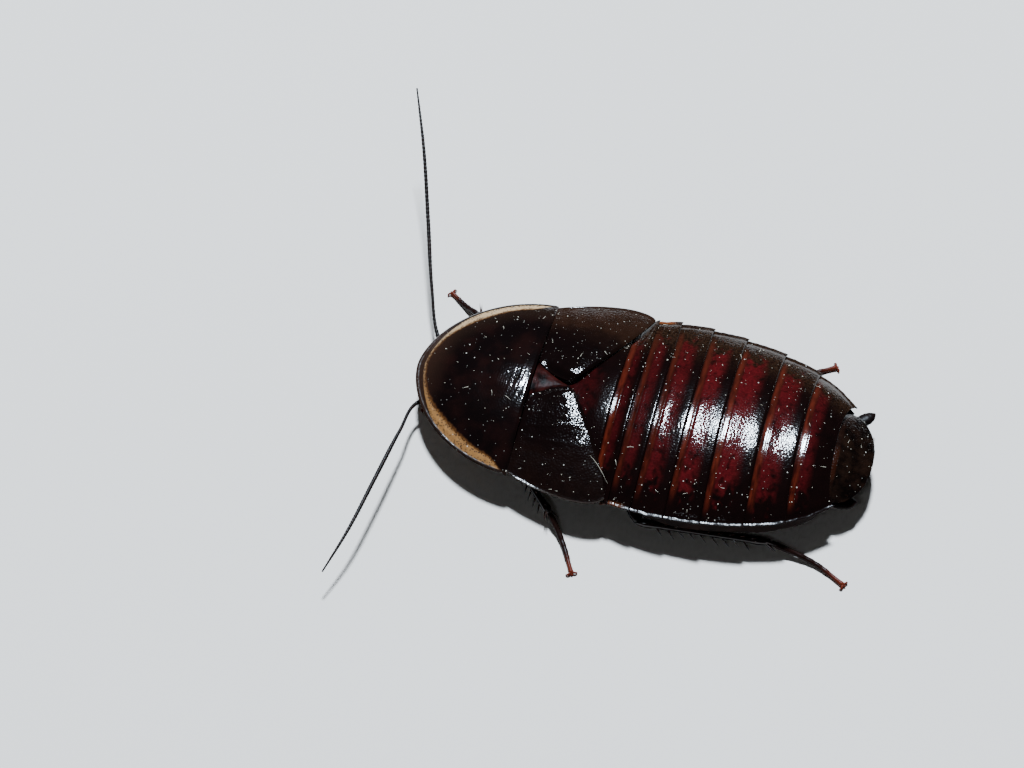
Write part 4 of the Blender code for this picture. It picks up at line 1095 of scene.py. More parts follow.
# %% End plates
TAIL_FRONT = 39.0
SUPRA_ANAL_REAR = 43.03
SUBGENITAL_REAR = 42.45
SUPRA_ANAL = curve_through(((39.0, 4.9), (39.7, 4.9), (40.7, 4.6), (41.7, 3.75), (42.4, 2.75), (42.8, 1.75),
                            (43.0, 0.6), (43.03, 0.0)))
SUPRA_ANAL_TOP = curve_through(((39.0, 4.86), (39.7, 4.78), (40.7, 4.42), (41.7, 3.96), (42.4, 3.65),
                                (43.03, 3.3)))
SUBGENITAL = curve_through(((39.0, 3.6), (39.7, 3.5), (40.6, 2.95), (41.5, 2.4), (42.1, 1.7), (42.4, 0.8),
                            (42.45, 0.0)))
SUBGENITAL_LOW = curve_through(((39.0, 0.95), (40.6, 1.15), (41.5, 1.4), (42.45, 1.85)))


def end_plate_surface(first, last, half_width, middle, edge, sweep, seed):
    def surface(u, v):
        t = 2 * u - 1
        x = first + (last - first) * np.sin(v * math.pi / 2)
        wide = half_width(x)
        z = edge + (middle(x) - edge) * (1 - t ** 2)
        shift = sweep * np.abs(t) ** 3 * (last - x) / (last - first)
        z = z + 0.012 * relief(x, t * wide, 0.3, seed) + 0.03 * relief(x, t * wide, 1.1, seed)
        return x + shift, t * wide, z
    return surface


def end_plate_finish():
    paint = Paint("end_plate_finish", specular_ior_level=0.24)
    blots = paint.step(paint.cloud(1.0), 0.3, 0.75)
    colour = paint.mix(blots, (0.0016, 0.0008, 0.0007), (0.011, 0.005, 0.003))
    place = paint.node("ShaderNodeSeparateXYZ", values={"Vector": paint.place}, out="X")
    sideways = Signal(paint, place.socket.node.outputs["Y"])
    slit = paint.step(place, at(40.0, 0, 0).x, at(39.75, 0, 0).x)
    lit_part = paint.step(sideways, 0.4 * MM, -0.6 * MM) * paint.step(sideways, -3.6 * MM, -2.6 * MM)
    colour = paint.mix(slit * (0.1 + lit_part * 0.45), colour, (0.03, 0.006, 0.002))
    colour, gloss = dusted(paint, colour, 0.12 + paint.cloud(0.4) * 0.08, 1.3)
    return paint.finish(colour, gloss, paint.cloud(0.25) * 0.6 - paint.pits(0.17), 0.022)


END_PLATE_WALL = 0.2


def make_end_plate(name, across, along, surface, outwards, node):
    plate = bend_sheet(name, across, along, surface, outwards)
    weld(plate)
    face_towards(plate, outwards)
    give_wall(plate, END_PLATE_WALL, 0.05)
    set_in_place(plate, tail_paint, "dark_plate", node)
    return plate


tail_paint = end_plate_finish()
supra_anal = end_plate_surface(TAIL_FRONT, SUPRA_ANAL_REAR, SUPRA_ANAL, SUPRA_ANAL_TOP, 3.2, 0.75, 31)
upper = make_end_plate("supra_anal_shield", 90, 60, supra_anal, UP, "supra_anal_plate")
subgenital = end_plate_surface(TAIL_FRONT, SUBGENITAL_REAR, SUBGENITAL, SUBGENITAL_LOW, 2.2, 0.4, 33)
make_end_plate("subgenital_shield", 70, 44, subgenital, -UP, "subgenital_plate")

# %% [markdown]
# ### The cerci
#
# A cercus is a flat leaf of about eight rings, widest past its middle, with a short point. The
# rings are small swells in the sections of a drawn-out ball.

# %% Cerci
CERCI = {
    "left": ((39.7, -4.1, 2.1), (40.4, -4.15, 2.1), (41.1, -4.05, 2.15), (41.7, -3.9, 2.22),
             (42.35, -3.72, 2.3)),
    "right": ((39.7, 3.7, 2.1), (40.4, 4.35, 2.12), (41.1, 5.0, 2.2), (41.7, 5.55, 2.28),
              (42.2, 6.1, 2.36)),
}
CERCUS_WIDTH = curve_through(((0.0, 0.45), (0.3, 0.55), (0.55, 0.62), (0.75, 0.6), (0.9, 0.4), (1.0, 0.1)))
CERCUS_RINGS = 8
dark_finish = plain_cuticle("dark_cuticle_finish", (0.003, 0.0015, 0.0015), (0.007, 0.003, 0.0022), 0.4,
                            shine=0.07)
for side, route in CERCI.items():
    path = path_through(route, 41)
    shares = np.linspace(0, 1, len(path))
    swell = 1 + 0.02 * np.cos(2 * math.pi * CERCUS_RINGS * shares)
    widths = CERCUS_WIDTH(shares) * swell
    cercus = draw_out(f"cercus_leaf_{side}", path, widths, 0.5 * widths + 0.02, sides=20)
    set_in_place(cercus, dark_finish, "dark_plate", f"cercus_{side}")

# %% [markdown]
# ## The legs
#
# A cockroach's leg has a broad flat coxa folded against the body, a small trochanter, a flat
# femur, a spiny tibia and a foot of five joints with two claws. Every leg has the same pieces in
# another stance, so each piece is one function that reads the joints of its leg. The far middle
# leg and the near front leg are tucked under the body.

# %% Legs: stances and helpers
LEG_JOINTS = {
    "front_left": ((7.3, -2.7, 1.65), (10.4, -1.6, 1.4), (11.2, -2.6, 1.35), (6.6, -6.3, 1.7),
                   (3.7, -3.4, 1.0), (2.6, -2.9, 0.26), (1.3, -2.6, 0.2)),
    "front_right": ((7.3, 2.7, 1.65), (10.4, 1.6, 1.4), (11.2, 2.6, 1.35), (6.9, 6.2, 1.7),
                    (3.4, 8.5, 1.0), (1.9, 9.6, 0.3), (0.2, 10.85, 0.2)),
    "mid_left": ((11.7, -4.9, 1.65), (14.9, -2.1, 1.4), (15.8, -3.1, 1.35), (12.1, -7.8, 1.75),
                 (15.6, -11.3, 1.2), (17.2, -13.2, 0.35), (19.0, -16.4, 0.2)),
    "mid_right": ((11.7, 4.9, 1.65), (14.9, 2.1, 1.4), (15.8, 3.1, 1.35), (12.1, 7.8, 1.75),
                  (16.3, 10.3, 1.1), (18.0, 11.1, 0.3), (20.4, 11.8, 0.2)),
    "hind_left": ((16.6, -5.3, 1.65), (19.4, -2.2, 1.4), (20.3, -3.2, 1.35), (23.6, -10.4, 1.55),
                  (35.6, -9.1, 1.05), (40.1, -9.9, 0.3), (42.8, -11.3, 0.2)),
    "hind_right": ((16.6, 5.3, 1.65), (19.4, 2.2, 1.4), (20.3, 3.2, 1.35), (21.6, 10.7, 1.55),
                   (32.4, 8.8, 1.05), (35.2, 10.3, 0.3), (37.7, 11.85, 0.2)),
}
FEMUR_WIDTH = {"front": 0.72, "mid": 0.74, "hind": 0.9}
SPINE_ROWS = {"front": 4, "mid": 5, "hind": 9}


def joints(leg):
    return [Vector(p) for p in LEG_JOINTS[leg]]


def limb(name, route, width_stations, height_stations, count=36, **settings):
    """A limb along a route, with its half widths and heights given at shares of its length."""
    path = path_through(route, count)
    shares = np.linspace(0, 1, count)
    return draw_out(name, path, curve_through(width_stations)(shares),
                    curve_through(height_stations)(shares), **settings)


def side_frame(leg, start, end):
    """The direction of a limb and the level direction away from the body."""
    along = (end - start).normalized()
    across = UP.cross(along).normalized()
    outwards = across if (start + end).y * across.y > 0 else -across
    return along, outwards


def spine_placing(base, along, sideways, tilt, length, radius):
    sideways = sideways.normalized()
    lean = math.radians(tilt)
    direction = along * math.cos(lean) + sideways * math.sin(lean)
    return placing(base, direction, length, radius)


limb_finish = plain_cuticle("limb_finish", (0.003, 0.0015, 0.0014), (0.012, 0.004, 0.003), 0.13,
                            blot=0.8, depth=0.006, dust=0.3, shine=0.35)
spine_finish = plain_cuticle("spine_finish", (0.012, 0.005, 0.004), (0.05, 0.016, 0.009), 0.25,
                             blot=0.4, dust=0.0)
print("legs:", ", ".join(LEG_JOINTS))

# %% Legs: coxa and femur
FEMUR_SPINES = (0.45, 0.62, 0.78, 0.9)


def make_coxa(leg):
    root, end = joints(leg)[:2]
    coxa = limb(f"coxa_plate_{leg}", (root - (end - root) * 0.08, root.lerp(end, 0.5), end),
                ((0, 0.45), (0.12, 0.75), (0.4, 0.92), (0.75, 0.74), (1, 0.34)),
                ((0, 0.3), (0.3, 0.5), (0.7, 0.48), (1, 0.3)), sides=24, squareness=2.4)
    set_in_place(coxa, limb_finish, "limb_cuticle", f"coxa_{leg}")


def make_femur(leg):
    coxa_end, hip, knee = joints(leg)[1:4]
    out = (knee - hip).normalized()
    size = FEMUR_WIDTH[leg.split("_")[0]]
    trochanter = limb("trochanter", (coxa_end, coxa_end + REARWARDS * 0.45, hip + out * 0.5),
                      ((0, 0.3), (0.3, 0.42), (0.7, 0.4), (1, 0.22)), ((0, 0.3), (0.4, 0.4), (1, 0.26)),
                      count=18, sides=18)
    femur = limb("femur", (hip + out * 0.25, hip.lerp(knee, 0.5), knee),
                 ((0, 0.3), (0.1, size * 0.62), (0.4, size), (0.75, size * 0.88), (0.93, size * 0.6),
                  (1, 0.3)),
                 ((0, 0.26), (0.15, 0.4), (0.5, 0.46), (0.85, 0.42), (1, 0.3)), sides=24, squareness=2.3)
    along, outwards = side_frame(leg, hip, knee)
    draw = random.Random(leg + "_femur")
    spines = []
    for share in FEMUR_SPINES:
        base = hip.lerp(knee, share) - outwards * size * 0.55 - UP * 0.12
        spines.append(spine_placing(base, along, -outwards - UP * 0.7, 50, draw.uniform(0.45, 0.7), 0.075))
    femur = join(f"femur_form_{leg}", [femur, trochanter, stamp("femur_spines", spine_template, spines)])
    set_in_place(femur, limb_finish, "limb_cuticle", f"femur_{leg}")


for leg in LEG_JOINTS:
    make_coxa(leg)
    make_femur(leg)

# %% [markdown]
# ### Tibiae and their spines
#
# The tibia is slim, a little wider at both ends. Long stout spines stand in rows on its outer and
# lower sides and lean towards the foot, with a crown of longer spurs at the end, and fine hairs
# stand between them. A spine is stamped for each place in the rows, with a seeded draw for its
# length and lean.

# %% Legs: tibia
SPINE_LINES = ((1.0, -0.2, 0.0), (-0.6, -0.9, 0.45), (0.3, 0.9, 0.7))
SPINE_LENGTH = 1.15
SPINE_RADIUS = 0.105
SPUR_TURNS = (-65, 60, -125, 10)
TIBIA_HAIRS_PER_ROW = 14


def make_tibia(leg):
    knee, ankle = joints(leg)[3:5]
    along, outwards = side_frame(leg, knee, ankle)
    middle = knee.lerp(ankle, 0.5) + outwards * 0.06
    tibia = limb("tibia", (knee - along * 0.1, middle, ankle),
                 ((0, 0.28), (0.06, 0.42), (0.16, 0.37), (0.8, 0.35), (0.93, 0.39), (1, 0.26)),
                 ((0, 0.28), (0.06, 0.4), (0.16, 0.34), (0.8, 0.33), (0.93, 0.37), (1, 0.26)),
                 count=48, sides=18, squareness=2.3)
    draw = random.Random(leg)
    rows = SPINE_ROWS[leg.split("_")[0]]
    spines, hairs = [], []
    for i in range(rows):
        for side, rise, shift in SPINE_LINES:
            base = knee.lerp(ankle, 0.14 + 0.74 * (i + shift) / rows)
            sideways = outwards * (side + draw.uniform(-0.15, 0.15)) + UP * rise
            length = SPINE_LENGTH * draw.uniform(0.8, 1.1) * (0.6 if rise > 0.5 else 1.0)
            base = base + sideways.normalized() * 0.2
            spines.append(spine_placing(base, along, sideways, draw.uniform(46, 58), length, SPINE_RADIUS))
    for turn in SPUR_TURNS:
        angle = math.radians(turn)
        sideways = outwards * math.cos(angle) + UP * 0.6 * math.sin(angle)
        base = ankle - along * 0.4 + sideways.normalized() * 0.2
        length = SPINE_LENGTH * draw.uniform(0.9, 1.15)
        spines.append(spine_placing(base, along, sideways, 38, length, SPINE_RADIUS))
    for i in range(TIBIA_HAIRS_PER_ROW * rows):
        turn = draw.uniform(0, 2 * math.pi)
        sideways = outwards * math.cos(turn) + UP * math.sin(turn)
        base = knee.lerp(ankle, draw.uniform(0.05, 0.97)) + sideways * 0.27
        hairs.append(spine_placing(base, along, sideways, draw.uniform(25, 50),
                                   draw.uniform(0.18, 0.32), 0.012))
    tibia = join(f"tibia_form_{leg}", [tibia, stamp("hairs", hair_template, hairs)])
    set_in_place(tibia, limb_finish, "limb_cuticle", f"tibia_{leg}")
    set_in_place(stamp(f"tibia_spines_{leg}", spine_template, spines), spine_finish, "limb_cuticle")


for leg in LEG_JOINTS:
    make_tibia(leg)

# %% [markdown]
# ### Feet
#
# The foot has one long joint, three short ones and a slender last one that carries two curved
# claws with a pad between them. The joints are swells along a single drawn-out ball, and the
# claws are drawn out along a hooked path. The last joint and the claws turn reddish brown.

# %% Legs: joints of the foot
TARSUS_SWELLS = ((0.0, 0.22), (0.03, 0.25), (0.3, 0.24), (0.42, 0.255), (0.44, 0.235), (0.46, 0.245),
                 (0.54, 0.25), (0.56, 0.23), (0.58, 0.24), (0.65, 0.245), (0.67, 0.225), (0.69, 0.23),
                 (0.75, 0.235), (0.77, 0.21), (0.8, 0.2), (0.94, 0.22), (0.98, 0.23), (1.0, 0.16))


def foot_finish():
    paint = Paint("foot_finish", specular_ior_level=0.07)
    reach = paint.noted("reach")
    dark = paint.mix(paint.cloud(0.5), (0.005, 0.0024, 0.002), (0.016, 0.005, 0.0035))
    colour = paint.mix(paint.step(reach, 0.6, 1.0), dark, (0.1, 0.015, 0.006))
    return paint.finish(colour, 0.26 + paint.cloud(0.3) * 0.1, paint.pits(0.15), 0.008)


foot_paint = foot_finish()
print("the feet's finish:", foot_paint.name)

# %% Legs: claws


def make_claws(tip, along):
    across = UP.cross(along).normalized()
    pieces = []
    for sign in (-1, 1):
        start = tip - along * 0.15
        hook = (start, start + along * 0.14 + across * sign * 0.2 + UP * 0.05,
                start + along * 0.2 + across * sign * 0.42,
                start + along * 0.06 + across * sign * 0.55 - UP * 0.14)
        pieces.append(limb("claw", hook, ((0, 0.13), (0.5, 0.1), (0.85, 0.06), (1, 0.015)),
                           ((0, 0.13), (0.5, 0.11), (0.85, 0.07), (1, 0.015)), count=14, sides=10,
                           floor=True))
    pad = (tip - along * 0.1, tip + along * 0.08, tip + along * 0.2 - UP * 0.02)
    pieces.append(limb("pad", pad, ((0, 0.1), (0.6, 0.13), (1, 0.05)), ((0, 0.08), (0.6, 0.08), (1, 0.04)),
                       count=8, sides=12, floor=True))
    return pieces


print("claws ready")

# %% Legs: feet
FOOT_HAIRS = 70


def make_foot(leg):
    ankle, sole, tip = joints(leg)[4:]
    path = path_through((ankle + (sole - ankle).normalized() * 0.1, sole, tip), 90)
    shares = np.linspace(0, 1, len(path))
    radii = curve_through(TARSUS_SWELLS)(shares)
    foot = draw_out("foot", path, radii, radii, sides=16, floor=True)
    along = (tip - sole).normalized()
    draw = random.Random(leg + "_foot")
    hairs = []
    for i in range(FOOT_HAIRS):
        k = draw.randrange(4, len(path) - 4)
        direction = (path[k + 1] - path[k - 1]).normalized()
        across = UP.cross(direction).normalized()
        turn = draw.uniform(-0.6, math.pi + 0.6)
        sideways = across * math.cos(turn) + UP * math.sin(turn)
        hairs.append(spine_placing(path[k] + sideways * radii[k] * 0.9, direction, sideways,
                                   draw.uniform(25, 50), draw.uniform(0.14, 0.26), 0.011))
    pieces = [foot, *make_claws(tip, along), stamp("hairs", hair_template, hairs)]
    foot = join(f"foot_{leg}", pieces)
    for vertex in foot.data.vertices:
        vertex.co.z = max(vertex.co.z, 0.0)
    x, y = body_places(foot)[:2]
    stride = tip - ankle
    reach = (x - ankle.x) * stride.x + (y - ankle.y) * stride.y
    note(foot, "reach", reach / stride.xy.length_squared)
    set_in_place(foot, foot_paint, "foot_cuticle", f"tarsus_{leg}")


for leg in LEG_JOINTS:
    make_foot(leg)

# %% [markdown]
# ## The head
#
# The head hangs under the front of the shield with its mouth to the rear, so little of it shows
# from above. It is a pear-shaped capsule with squarish sections. The face carries the clypeus,
# the upper lip and a pair of jaws, and kidney-shaped eyes wrap round its sides.

# %% Head: measures
HEAD_CROWN = Vector((3.4, 0.0, 3.47))
HEAD_MOUTH = Vector((6.5, 0.0, 0.85))
HEAD_AXIS = (HEAD_MOUTH - HEAD_CROWN).normalized()
HEAD_FACE = Vector((HEAD_AXIS.z, 0.0, -HEAD_AXIS.x))
HEAD_WIDTH = ((-0.06, 1.0), (0.03, 1.75), (0.14, 2.15), (0.3, 2.35), (0.46, 2.18), (0.6, 1.85),
              (0.74, 1.5), (0.86, 1.2))
HEAD_DEPTH = ((-0.06, 0.55), (0.03, 1.0), (0.14, 1.22), (0.3, 1.32), (0.46, 1.28), (0.6, 1.15),
              (0.74, 0.95), (0.86, 0.72))


def head_point(share, forward, sideways=0.0):
    return HEAD_CROWN.lerp(HEAD_MOUTH, share) + HEAD_FACE * forward + Vector((0.0, sideways, 0.0))


def head_form(name, first, last, widths, depths, forward=0.0, count=24, sides=40, squareness=2.5):
    path = [head_point(first + (last - first) * i / (count - 1), forward) for i in range(count)]
    shares = np.linspace(first, last, count)
    return draw_out(name, path, curve_through(widths)(shares), curve_through(depths)(shares),
                    sides=sides, squareness=squareness, tips=(0.35, 0.35))


print("crown to mouth in mm:", round((HEAD_MOUTH - HEAD_CROWN).length, 2))

# %% Head: capsule, lips, jaws and sockets
JAW_RADII = ((0, 0.34), (0.4, 0.44), (0.75, 0.36), (1, 0.1))
capsule = head_form("capsule", -0.06, 0.86, HEAD_WIDTH, HEAD_DEPTH, count=40, sides=56)
clypeus = head_form("clypeus", 0.6, 0.8, ((0.6, 1.15), (0.64, 1.25), (0.74, 1.15), (0.8, 1.02)),
                    ((0.6, 0.3), (0.64, 0.42), (0.74, 0.46), (0.8, 0.4)), forward=0.66)
labrum = head_form("labrum", 0.8, 1.03, ((0.8, 0.84), (0.84, 0.92), (0.94, 0.84), (1.0, 0.62), (1.03, 0.3)),
                   ((0.8, 0.36), (0.84, 0.42), (0.94, 0.36), (1.0, 0.26), (1.03, 0.14)), forward=0.5)
head_pieces = [capsule, clypeus, labrum]
for side, sign in SIDES:
    route = [head_point(share, forward, sign * sideways) for share, sideways, forward in
             ((0.74, 1.05, 0.0), (0.86, 1.08, 0.12), (0.97, 0.78, 0.16), (1.03, 0.3, 0.12))]
    head_pieces.append(limb("jaw", route, JAW_RADII, JAW_RADII, count=24, sides=20))
    pick()
    bpy.ops.mesh.primitive_torus_add(major_segments=32, minor_segments=10, major_radius=0.36 * MM,
                                     minor_radius=0.08 * MM, location=at(*head_point(0.4, 1.2, sign * 1.1)),
                                     rotation=UP.rotation_difference(HEAD_FACE).to_euler())
    bpy.ops.object.transform_apply(location=True, rotation=True)
    head_pieces.append(name_new("socket"))
head = join("head_capsule", head_pieces)
head_paint = plain_cuticle("head_finish", (0.008, 0.004, 0.0035), (0.035, 0.012, 0.008), 0.22, blot=1.0)
set_in_place(head, head_paint, "head_cuticle", "head")

# %% [markdown]
# ### Eyes
#
# A compound eye is a shallow dome of thousands of lenses. It starts as an icosphere, because its
# triangles are even all over, is stretched along the side of the head and dented in front, where
# the antenna is rooted. The lenses are far below a tenth of a millimetre and stay in the finish.

# %% Head: eyes
EYE_PLACE = Vector((3.95, 1.98, 2.72))
EYE_HALF_SIZES = Vector((0.62, 0.62, 0.98))


def eye_finish():
    paint = Paint("eye_finish", coat_weight=0.6, coat_roughness=0.03)
    colour = paint.mix(paint.cloud(0.6), (0.004, 0.0035, 0.004), (0.012, 0.009, 0.009))
    return paint.finish(colour, 0.16, paint.pits(0.07), 0.012)


eye_paint = eye_finish()
tilt = UP.rotation_difference(-HEAD_AXIS).to_matrix().to_4x4()
for side, sign in SIDES:
    pick()
    bpy.ops.mesh.primitive_ico_sphere_add(subdivisions=5, radius=1.0)
    eye = name_new(f"compound_eye_{side}")
    for vertex in eye.data.vertices:
        dent = 0.25 * math.exp(-((vertex.co.x + 0.75) ** 2 + (vertex.co.z + 0.35) ** 2) / 0.18)
        place = Vector([along * half for along, half in zip(vertex.co, EYE_HALF_SIZES)])
        place = tilt @ (place * (1 - dent))
        vertex.co = at(EYE_PLACE.x + place.x, sign * EYE_PLACE.y + place.y, EYE_PLACE.z + place.z)
    set_in_place(eye, eye_paint, "compound_eye", f"eye_{side}")

# %% [markdown]
# ### Palps
#
# Two pairs of jointed feelers hang beside the mouth. Each joint is a swell of the limb.

# %% Head: palps
MAXILLARY_PALP = ((5.95, 1.75, 1.4), (5.45, 2.4, 1.0), (4.9, 2.5, 0.7), (4.35, 2.3, 0.48), (4.0, 2.0, 0.42))
LABIAL_PALP = ((7.2, 0.6, 1.15), (7.35, 1.2, 0.65), (7.05, 1.5, 0.42), (6.65, 1.55, 0.36))
PALP_SWELLS = ((0, 0.2), (0.1, 0.24), (0.2, 0.25), (0.24, 0.17), (0.3, 0.22), (0.46, 0.25), (0.5, 0.17),
               (0.56, 0.21), (0.74, 0.25), (0.78, 0.17), (0.84, 0.23), (0.94, 0.26), (1, 0.14))
for side, sign in SIDES:
    for kind, route in (("maxillary", MAXILLARY_PALP), ("labial", LABIAL_PALP)):
        mirrored = [(x, sign * y, z) for x, y, z in route]
        palp = limb(f"{kind}_feeler_{side}", mirrored, PALP_SWELLS, PALP_SWELLS, count=50, sides=16)
        set_in_place(palp, limb_finish, "limb_cuticle", f"{kind}_palp_{side}")

# %% [markdown]
# ## The antennae
#
# An antenna has a stout first joint, a short second one, and then about seventy rings that get
# longer and thinner towards the tip. Each ring is widest near its outer end, so the outline is
# finely saw-toothed, and short hairs stand on it.

# %% Antennae
ANTENNAE = {
    "left": ((3.5, -1.05, 1.35), (2.3, -2.1, 1.75), (0.9, -3.7, 2.3), (0.42, -7.4, 3.0),
             (-0.22, -13.2, 3.4), (-1.12, -19.5, 3.2), (-2.1, -23.3, 2.6)),
    "right": ((3.5, 1.05, 1.35), (2.1, 2.4, 1.75), (0.6, 4.4, 2.25), (-1.0, 8.3, 3.6), (-3.2, 14.8, 5.6),
              (-5.4, 21.2, 7.8), (-7.75, 27.1, 9.6)),
}
ANTENNA_RADIUS = curve_through(((0.0, 0.2), (0.02, 0.34), (0.055, 0.38), (0.075, 0.24), (0.085, 0.3),
                                (0.105, 0.24), (0.12, 0.22), (0.5, 0.19), (0.8, 0.15), (1.0, 0.07)))
ANTENNA_RINGS = 72
RING_STEPS = 4
ANTENNA_HAIRS = 420
antenna_finish = plain_cuticle("antenna_finish", (0.003, 0.0015, 0.001), (0.01, 0.004, 0.0025), 0.4,
                               blot=0.8, dust=0.0, shine=0.15)
for side, route in ANTENNAE.items():
    count = ANTENNA_RINGS * RING_STEPS
    path = path_through(route, count)
    shares = np.linspace(0, 1, count)
    saw = (np.arange(count) % RING_STEPS) / (RING_STEPS - 1)
    ringed = ease(shares, 0.1, 0.13)
    radii = ANTENNA_RADIUS(shares) * (1 + ringed * (0.12 * saw - 0.1 * (saw == 0)))
    antenna = draw_out("antenna", path, radii, radii, sides=12)
    draw = random.Random(side + "_antenna")
    hairs = []
    for i in range(ANTENNA_HAIRS):
        k = draw.randrange(30, count - 2)
        along = (path[k + 1] - path[k - 1]).normalized()
        across = UP.cross(along).normalized()
        turn = draw.uniform(0, 2 * math.pi)
        sideways = across * math.cos(turn) + along.cross(across) * math.sin(turn)
        hairs.append(spine_placing(path[k] + sideways * radii[k] * 0.85, along, sideways, 40,
                                   draw.uniform(0.1, 0.2), 0.01))
    antenna = join(f"antenna_form_{side}", [antenna, stamp("hairs", hair_template, hairs)])
    set_in_place(antenna, antenna_finish, "antenna_cuticle", f"antenna_{side}")

# %% [markdown]
# ## Bristles, lost hairs and crumbs of dust
#
# The last plate of the back carries short stiff bristles. Crumbs of rotten wood and a few short
# curved fibres lie on the whole back, and a longer pale hair lies over the left wing cover. They
# are real shapes, because they stand out from the surface. Faces of the back that look up are
# drawn at random, each by its area, and something is laid on each of them. The shield keeps only
# part of its share, because it is cleaner than the rest.

# %% Places for small things on the back


def resting_places(pieces, count, draw, least_up=0.45):
    """Places in millimetres on faces that look up, each with the direction of its face."""
    faces = [(piece, face) for piece in pieces for face in piece.data.polygons if face.normal.z > least_up]
    weights = [face.area for piece, face in faces]
    for piece, face in draw.choices(faces, weights=weights, k=count):
        spot = face.center / MM
        yield Vector((spot.x + BELLY_REST_X, spot.y, spot.z)), face.normal.copy()


def level_direction(normal, draw):
    """A random direction along the surface."""
    turn = draw.uniform(0, 2 * math.pi)
    flat = Vector((math.cos(turn), math.sin(turn), 0.0))
    return (flat - normal * flat.dot(normal)).normalized()


def crumb_finish():
    paint = Paint("wood_crumb_finish")
    colour = paint.mix(paint.cloud(0.3), (0.42, 0.34, 0.22), (0.78, 0.74, 0.62))
    return paint.finish(colour, 0.8, paint.cloud(0.03), 0.01)


print("resting places ready")

# %% Bristles, crumbs, fibres and the lost hair
BRISTLES, CRUMBS, FIBRES = 190, 700, 46
CRUMB_SIZES = (0.014, 0.018, 0.022, 0.026, 0.032, 0.04, 0.058)
CLEAN_SHARE = 0.6
draw = random.Random("bristles")
bristles = []
for spot, normal in resting_places([upper], BRISTLES, draw):
    if spot.x > 39.9:
        lean = (normal + REARWARDS * draw.uniform(0.8, 1.6)).normalized()
        bristles.append(placing(spot - normal * 0.02, lean, draw.uniform(0.16, 0.3), 0.012))
set_in_place(stamp("tail_bristles", hair_template, bristles), spine_finish, "dark_plate")

back = [shield, *tegmina, metanotum, *back_plates, upper]
draw = random.Random("crumbs")
crumbs, fibres = [], []
for spot, normal in resting_places(back, CRUMBS, draw):
    if spot.x < SHIELD_LENGTH and draw.random() < CLEAN_SHARE:
        continue
    size = draw.choice(CRUMB_SIZES)
    turn = Euler([draw.uniform(0, math.pi) for axis in range(3)]).to_matrix().to_4x4()
    shape = Matrix.Diagonal((size * draw.uniform(1.0, 1.9) * MM, size * MM, size * 0.7 * MM, 1.0))
    crumbs.append(Matrix.Translation(at(*(spot + normal * size * 0.3))) @ turn @ shape)
for spot, normal in resting_places(back, FIBRES, draw):
    along = level_direction(normal, draw)
    fibres.append(placing(spot + normal * 0.03, along + normal * 0.05, draw.uniform(0.25, 0.75), 0.024,
                          draw.uniform(0, 6.0)))
LOST_HAIR = ((18.2, -6.9, 5.2), (18.95, -7.5, 5.1), (19.7, -8.25, 4.85), (20.35, -8.95, 4.45))
HAIR_RADII = ((0, 0.008), (0.3, 0.015), (1, 0.005))
lost_hair = limb("lost_hair", LOST_HAIR, HAIR_RADII, HAIR_RADII, count=20, sides=8)
crumb_paint = crumb_finish()
set_in_place(lost_hair, crumb_paint, "wing_cover")
set_in_place(stamp("wood_crumbs", grain_template, crumbs), crumb_paint, "tergite_cuticle")
set_in_place(stamp("pale_fibres", hair_template, fibres), crumb_paint, "tergite_cuticle")

# %% [markdown]
# ## Floor, light and camera
#
# The model stands on a plain pale floor. One soft light above the far side gives the long
# highlight down the back, a weak one on the near side draws thin highlights along the rims and
# legs, and the room is dim grey. The camera has the photo's angle and framing.

# %% Floor
for template in TEMPLATES:
    bpy.data.objects.remove(template, do_unlink=True)

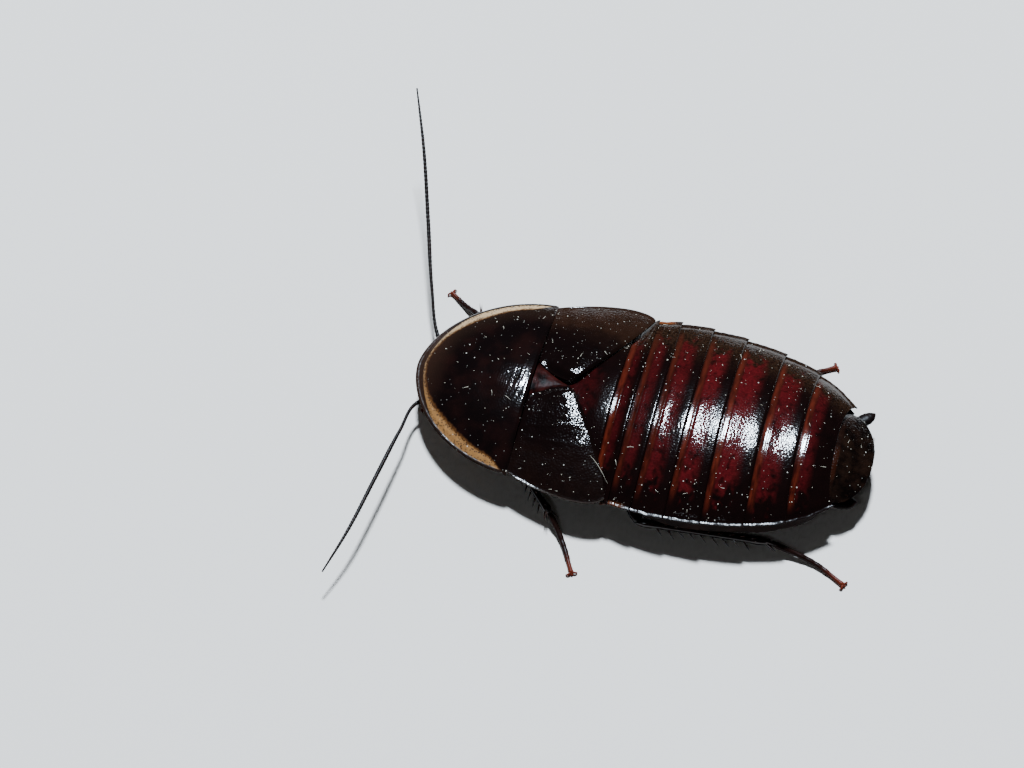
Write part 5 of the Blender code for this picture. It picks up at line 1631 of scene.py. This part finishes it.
pick()
bpy.ops.mesh.primitive_plane_add(size=4.0, location=(0, 0, 0))
floor = name_new("studio_floor")
floor_paint = Paint("floor_finish")
floor_colour = floor_paint.mix(floor_paint.cloud(60.0), (0.78, 0.71, 0.64), (0.84, 0.77, 0.7))
floor.data.materials.append(floor_paint.finish(floor_colour, 0.75))
print("floor side in m:", round(floor.dimensions.x, 1))

# %% Lights
ROOM_LIGHT = 0.028
ROOM_SEEN = 0.7


def soft_light(name, place, target, size, power, colour):
    """A round light of the given size in metres, aimed at a point."""
    pick()
    bpy.ops.object.light_add(type="AREA", location=place)
    light = name_new(name)
    light.data.shape = "DISK"
    light.data.size = size
    light.data.energy = power
    light.data.color = colour
    light.rotation_euler = (Vector(target) - Vector(place)).to_track_quat("-Z", "Y").to_euler()
    return light


soft_light("key_light", (-0.2, 0.69, 1.44), (0, 0, 0), size=0.2, power=76.0,
           colour=(0.74, 0.86, 1.0))
soft_light("fill_light", (-0.2, -1.0, 1.3), (0, 0, 0), size=0.16, power=1.1,
           colour=(0.8, 0.9, 1.0))
world = bpy.data.worlds.new("studio_room")
world.use_nodes = True
room = world.node_tree.nodes["Background"]
room.inputs["Color"].default_value = (0.8, 0.85, 0.9, 1.0)
rays = world.node_tree.nodes.new("ShaderNodeLightPath")
brightness = world.node_tree.nodes.new("ShaderNodeMapRange")
brightness.inputs["To Min"].default_value = ROOM_LIGHT
brightness.inputs["To Max"].default_value = ROOM_SEEN
world.node_tree.links.new(rays.outputs["Is Camera Ray"], brightness.inputs["Value"])
world.node_tree.links.new(brightness.outputs["Result"], room.inputs["Strength"])
bpy.context.scene.world = world

# %% Camera
CAMERA_PLACE = Vector((0.013534, -0.130825, 0.202635))
CAMERA_TARGET = Vector((-0.022108, 0.002193, 0.0))
pick()
bpy.ops.object.camera_add(location=CAMERA_PLACE)
camera = name_new("photo_camera")
camera.data.sensor_width = 36.0
camera.data.lens = 91.41
camera.data.clip_start = 0.01
camera.rotation_euler = (CAMERA_TARGET - CAMERA_PLACE).to_track_quat("-Z", "Y").to_euler()
bpy.context.scene.camera = camera
print("camera distance in mm:", round((CAMERA_TARGET - CAMERA_PLACE).length / MM, 1))

# %% [markdown]
# ## Pieces
#
# The number of dressed pieces is printed.

# %% Count the pieces
print("pieces:", len(dressed))
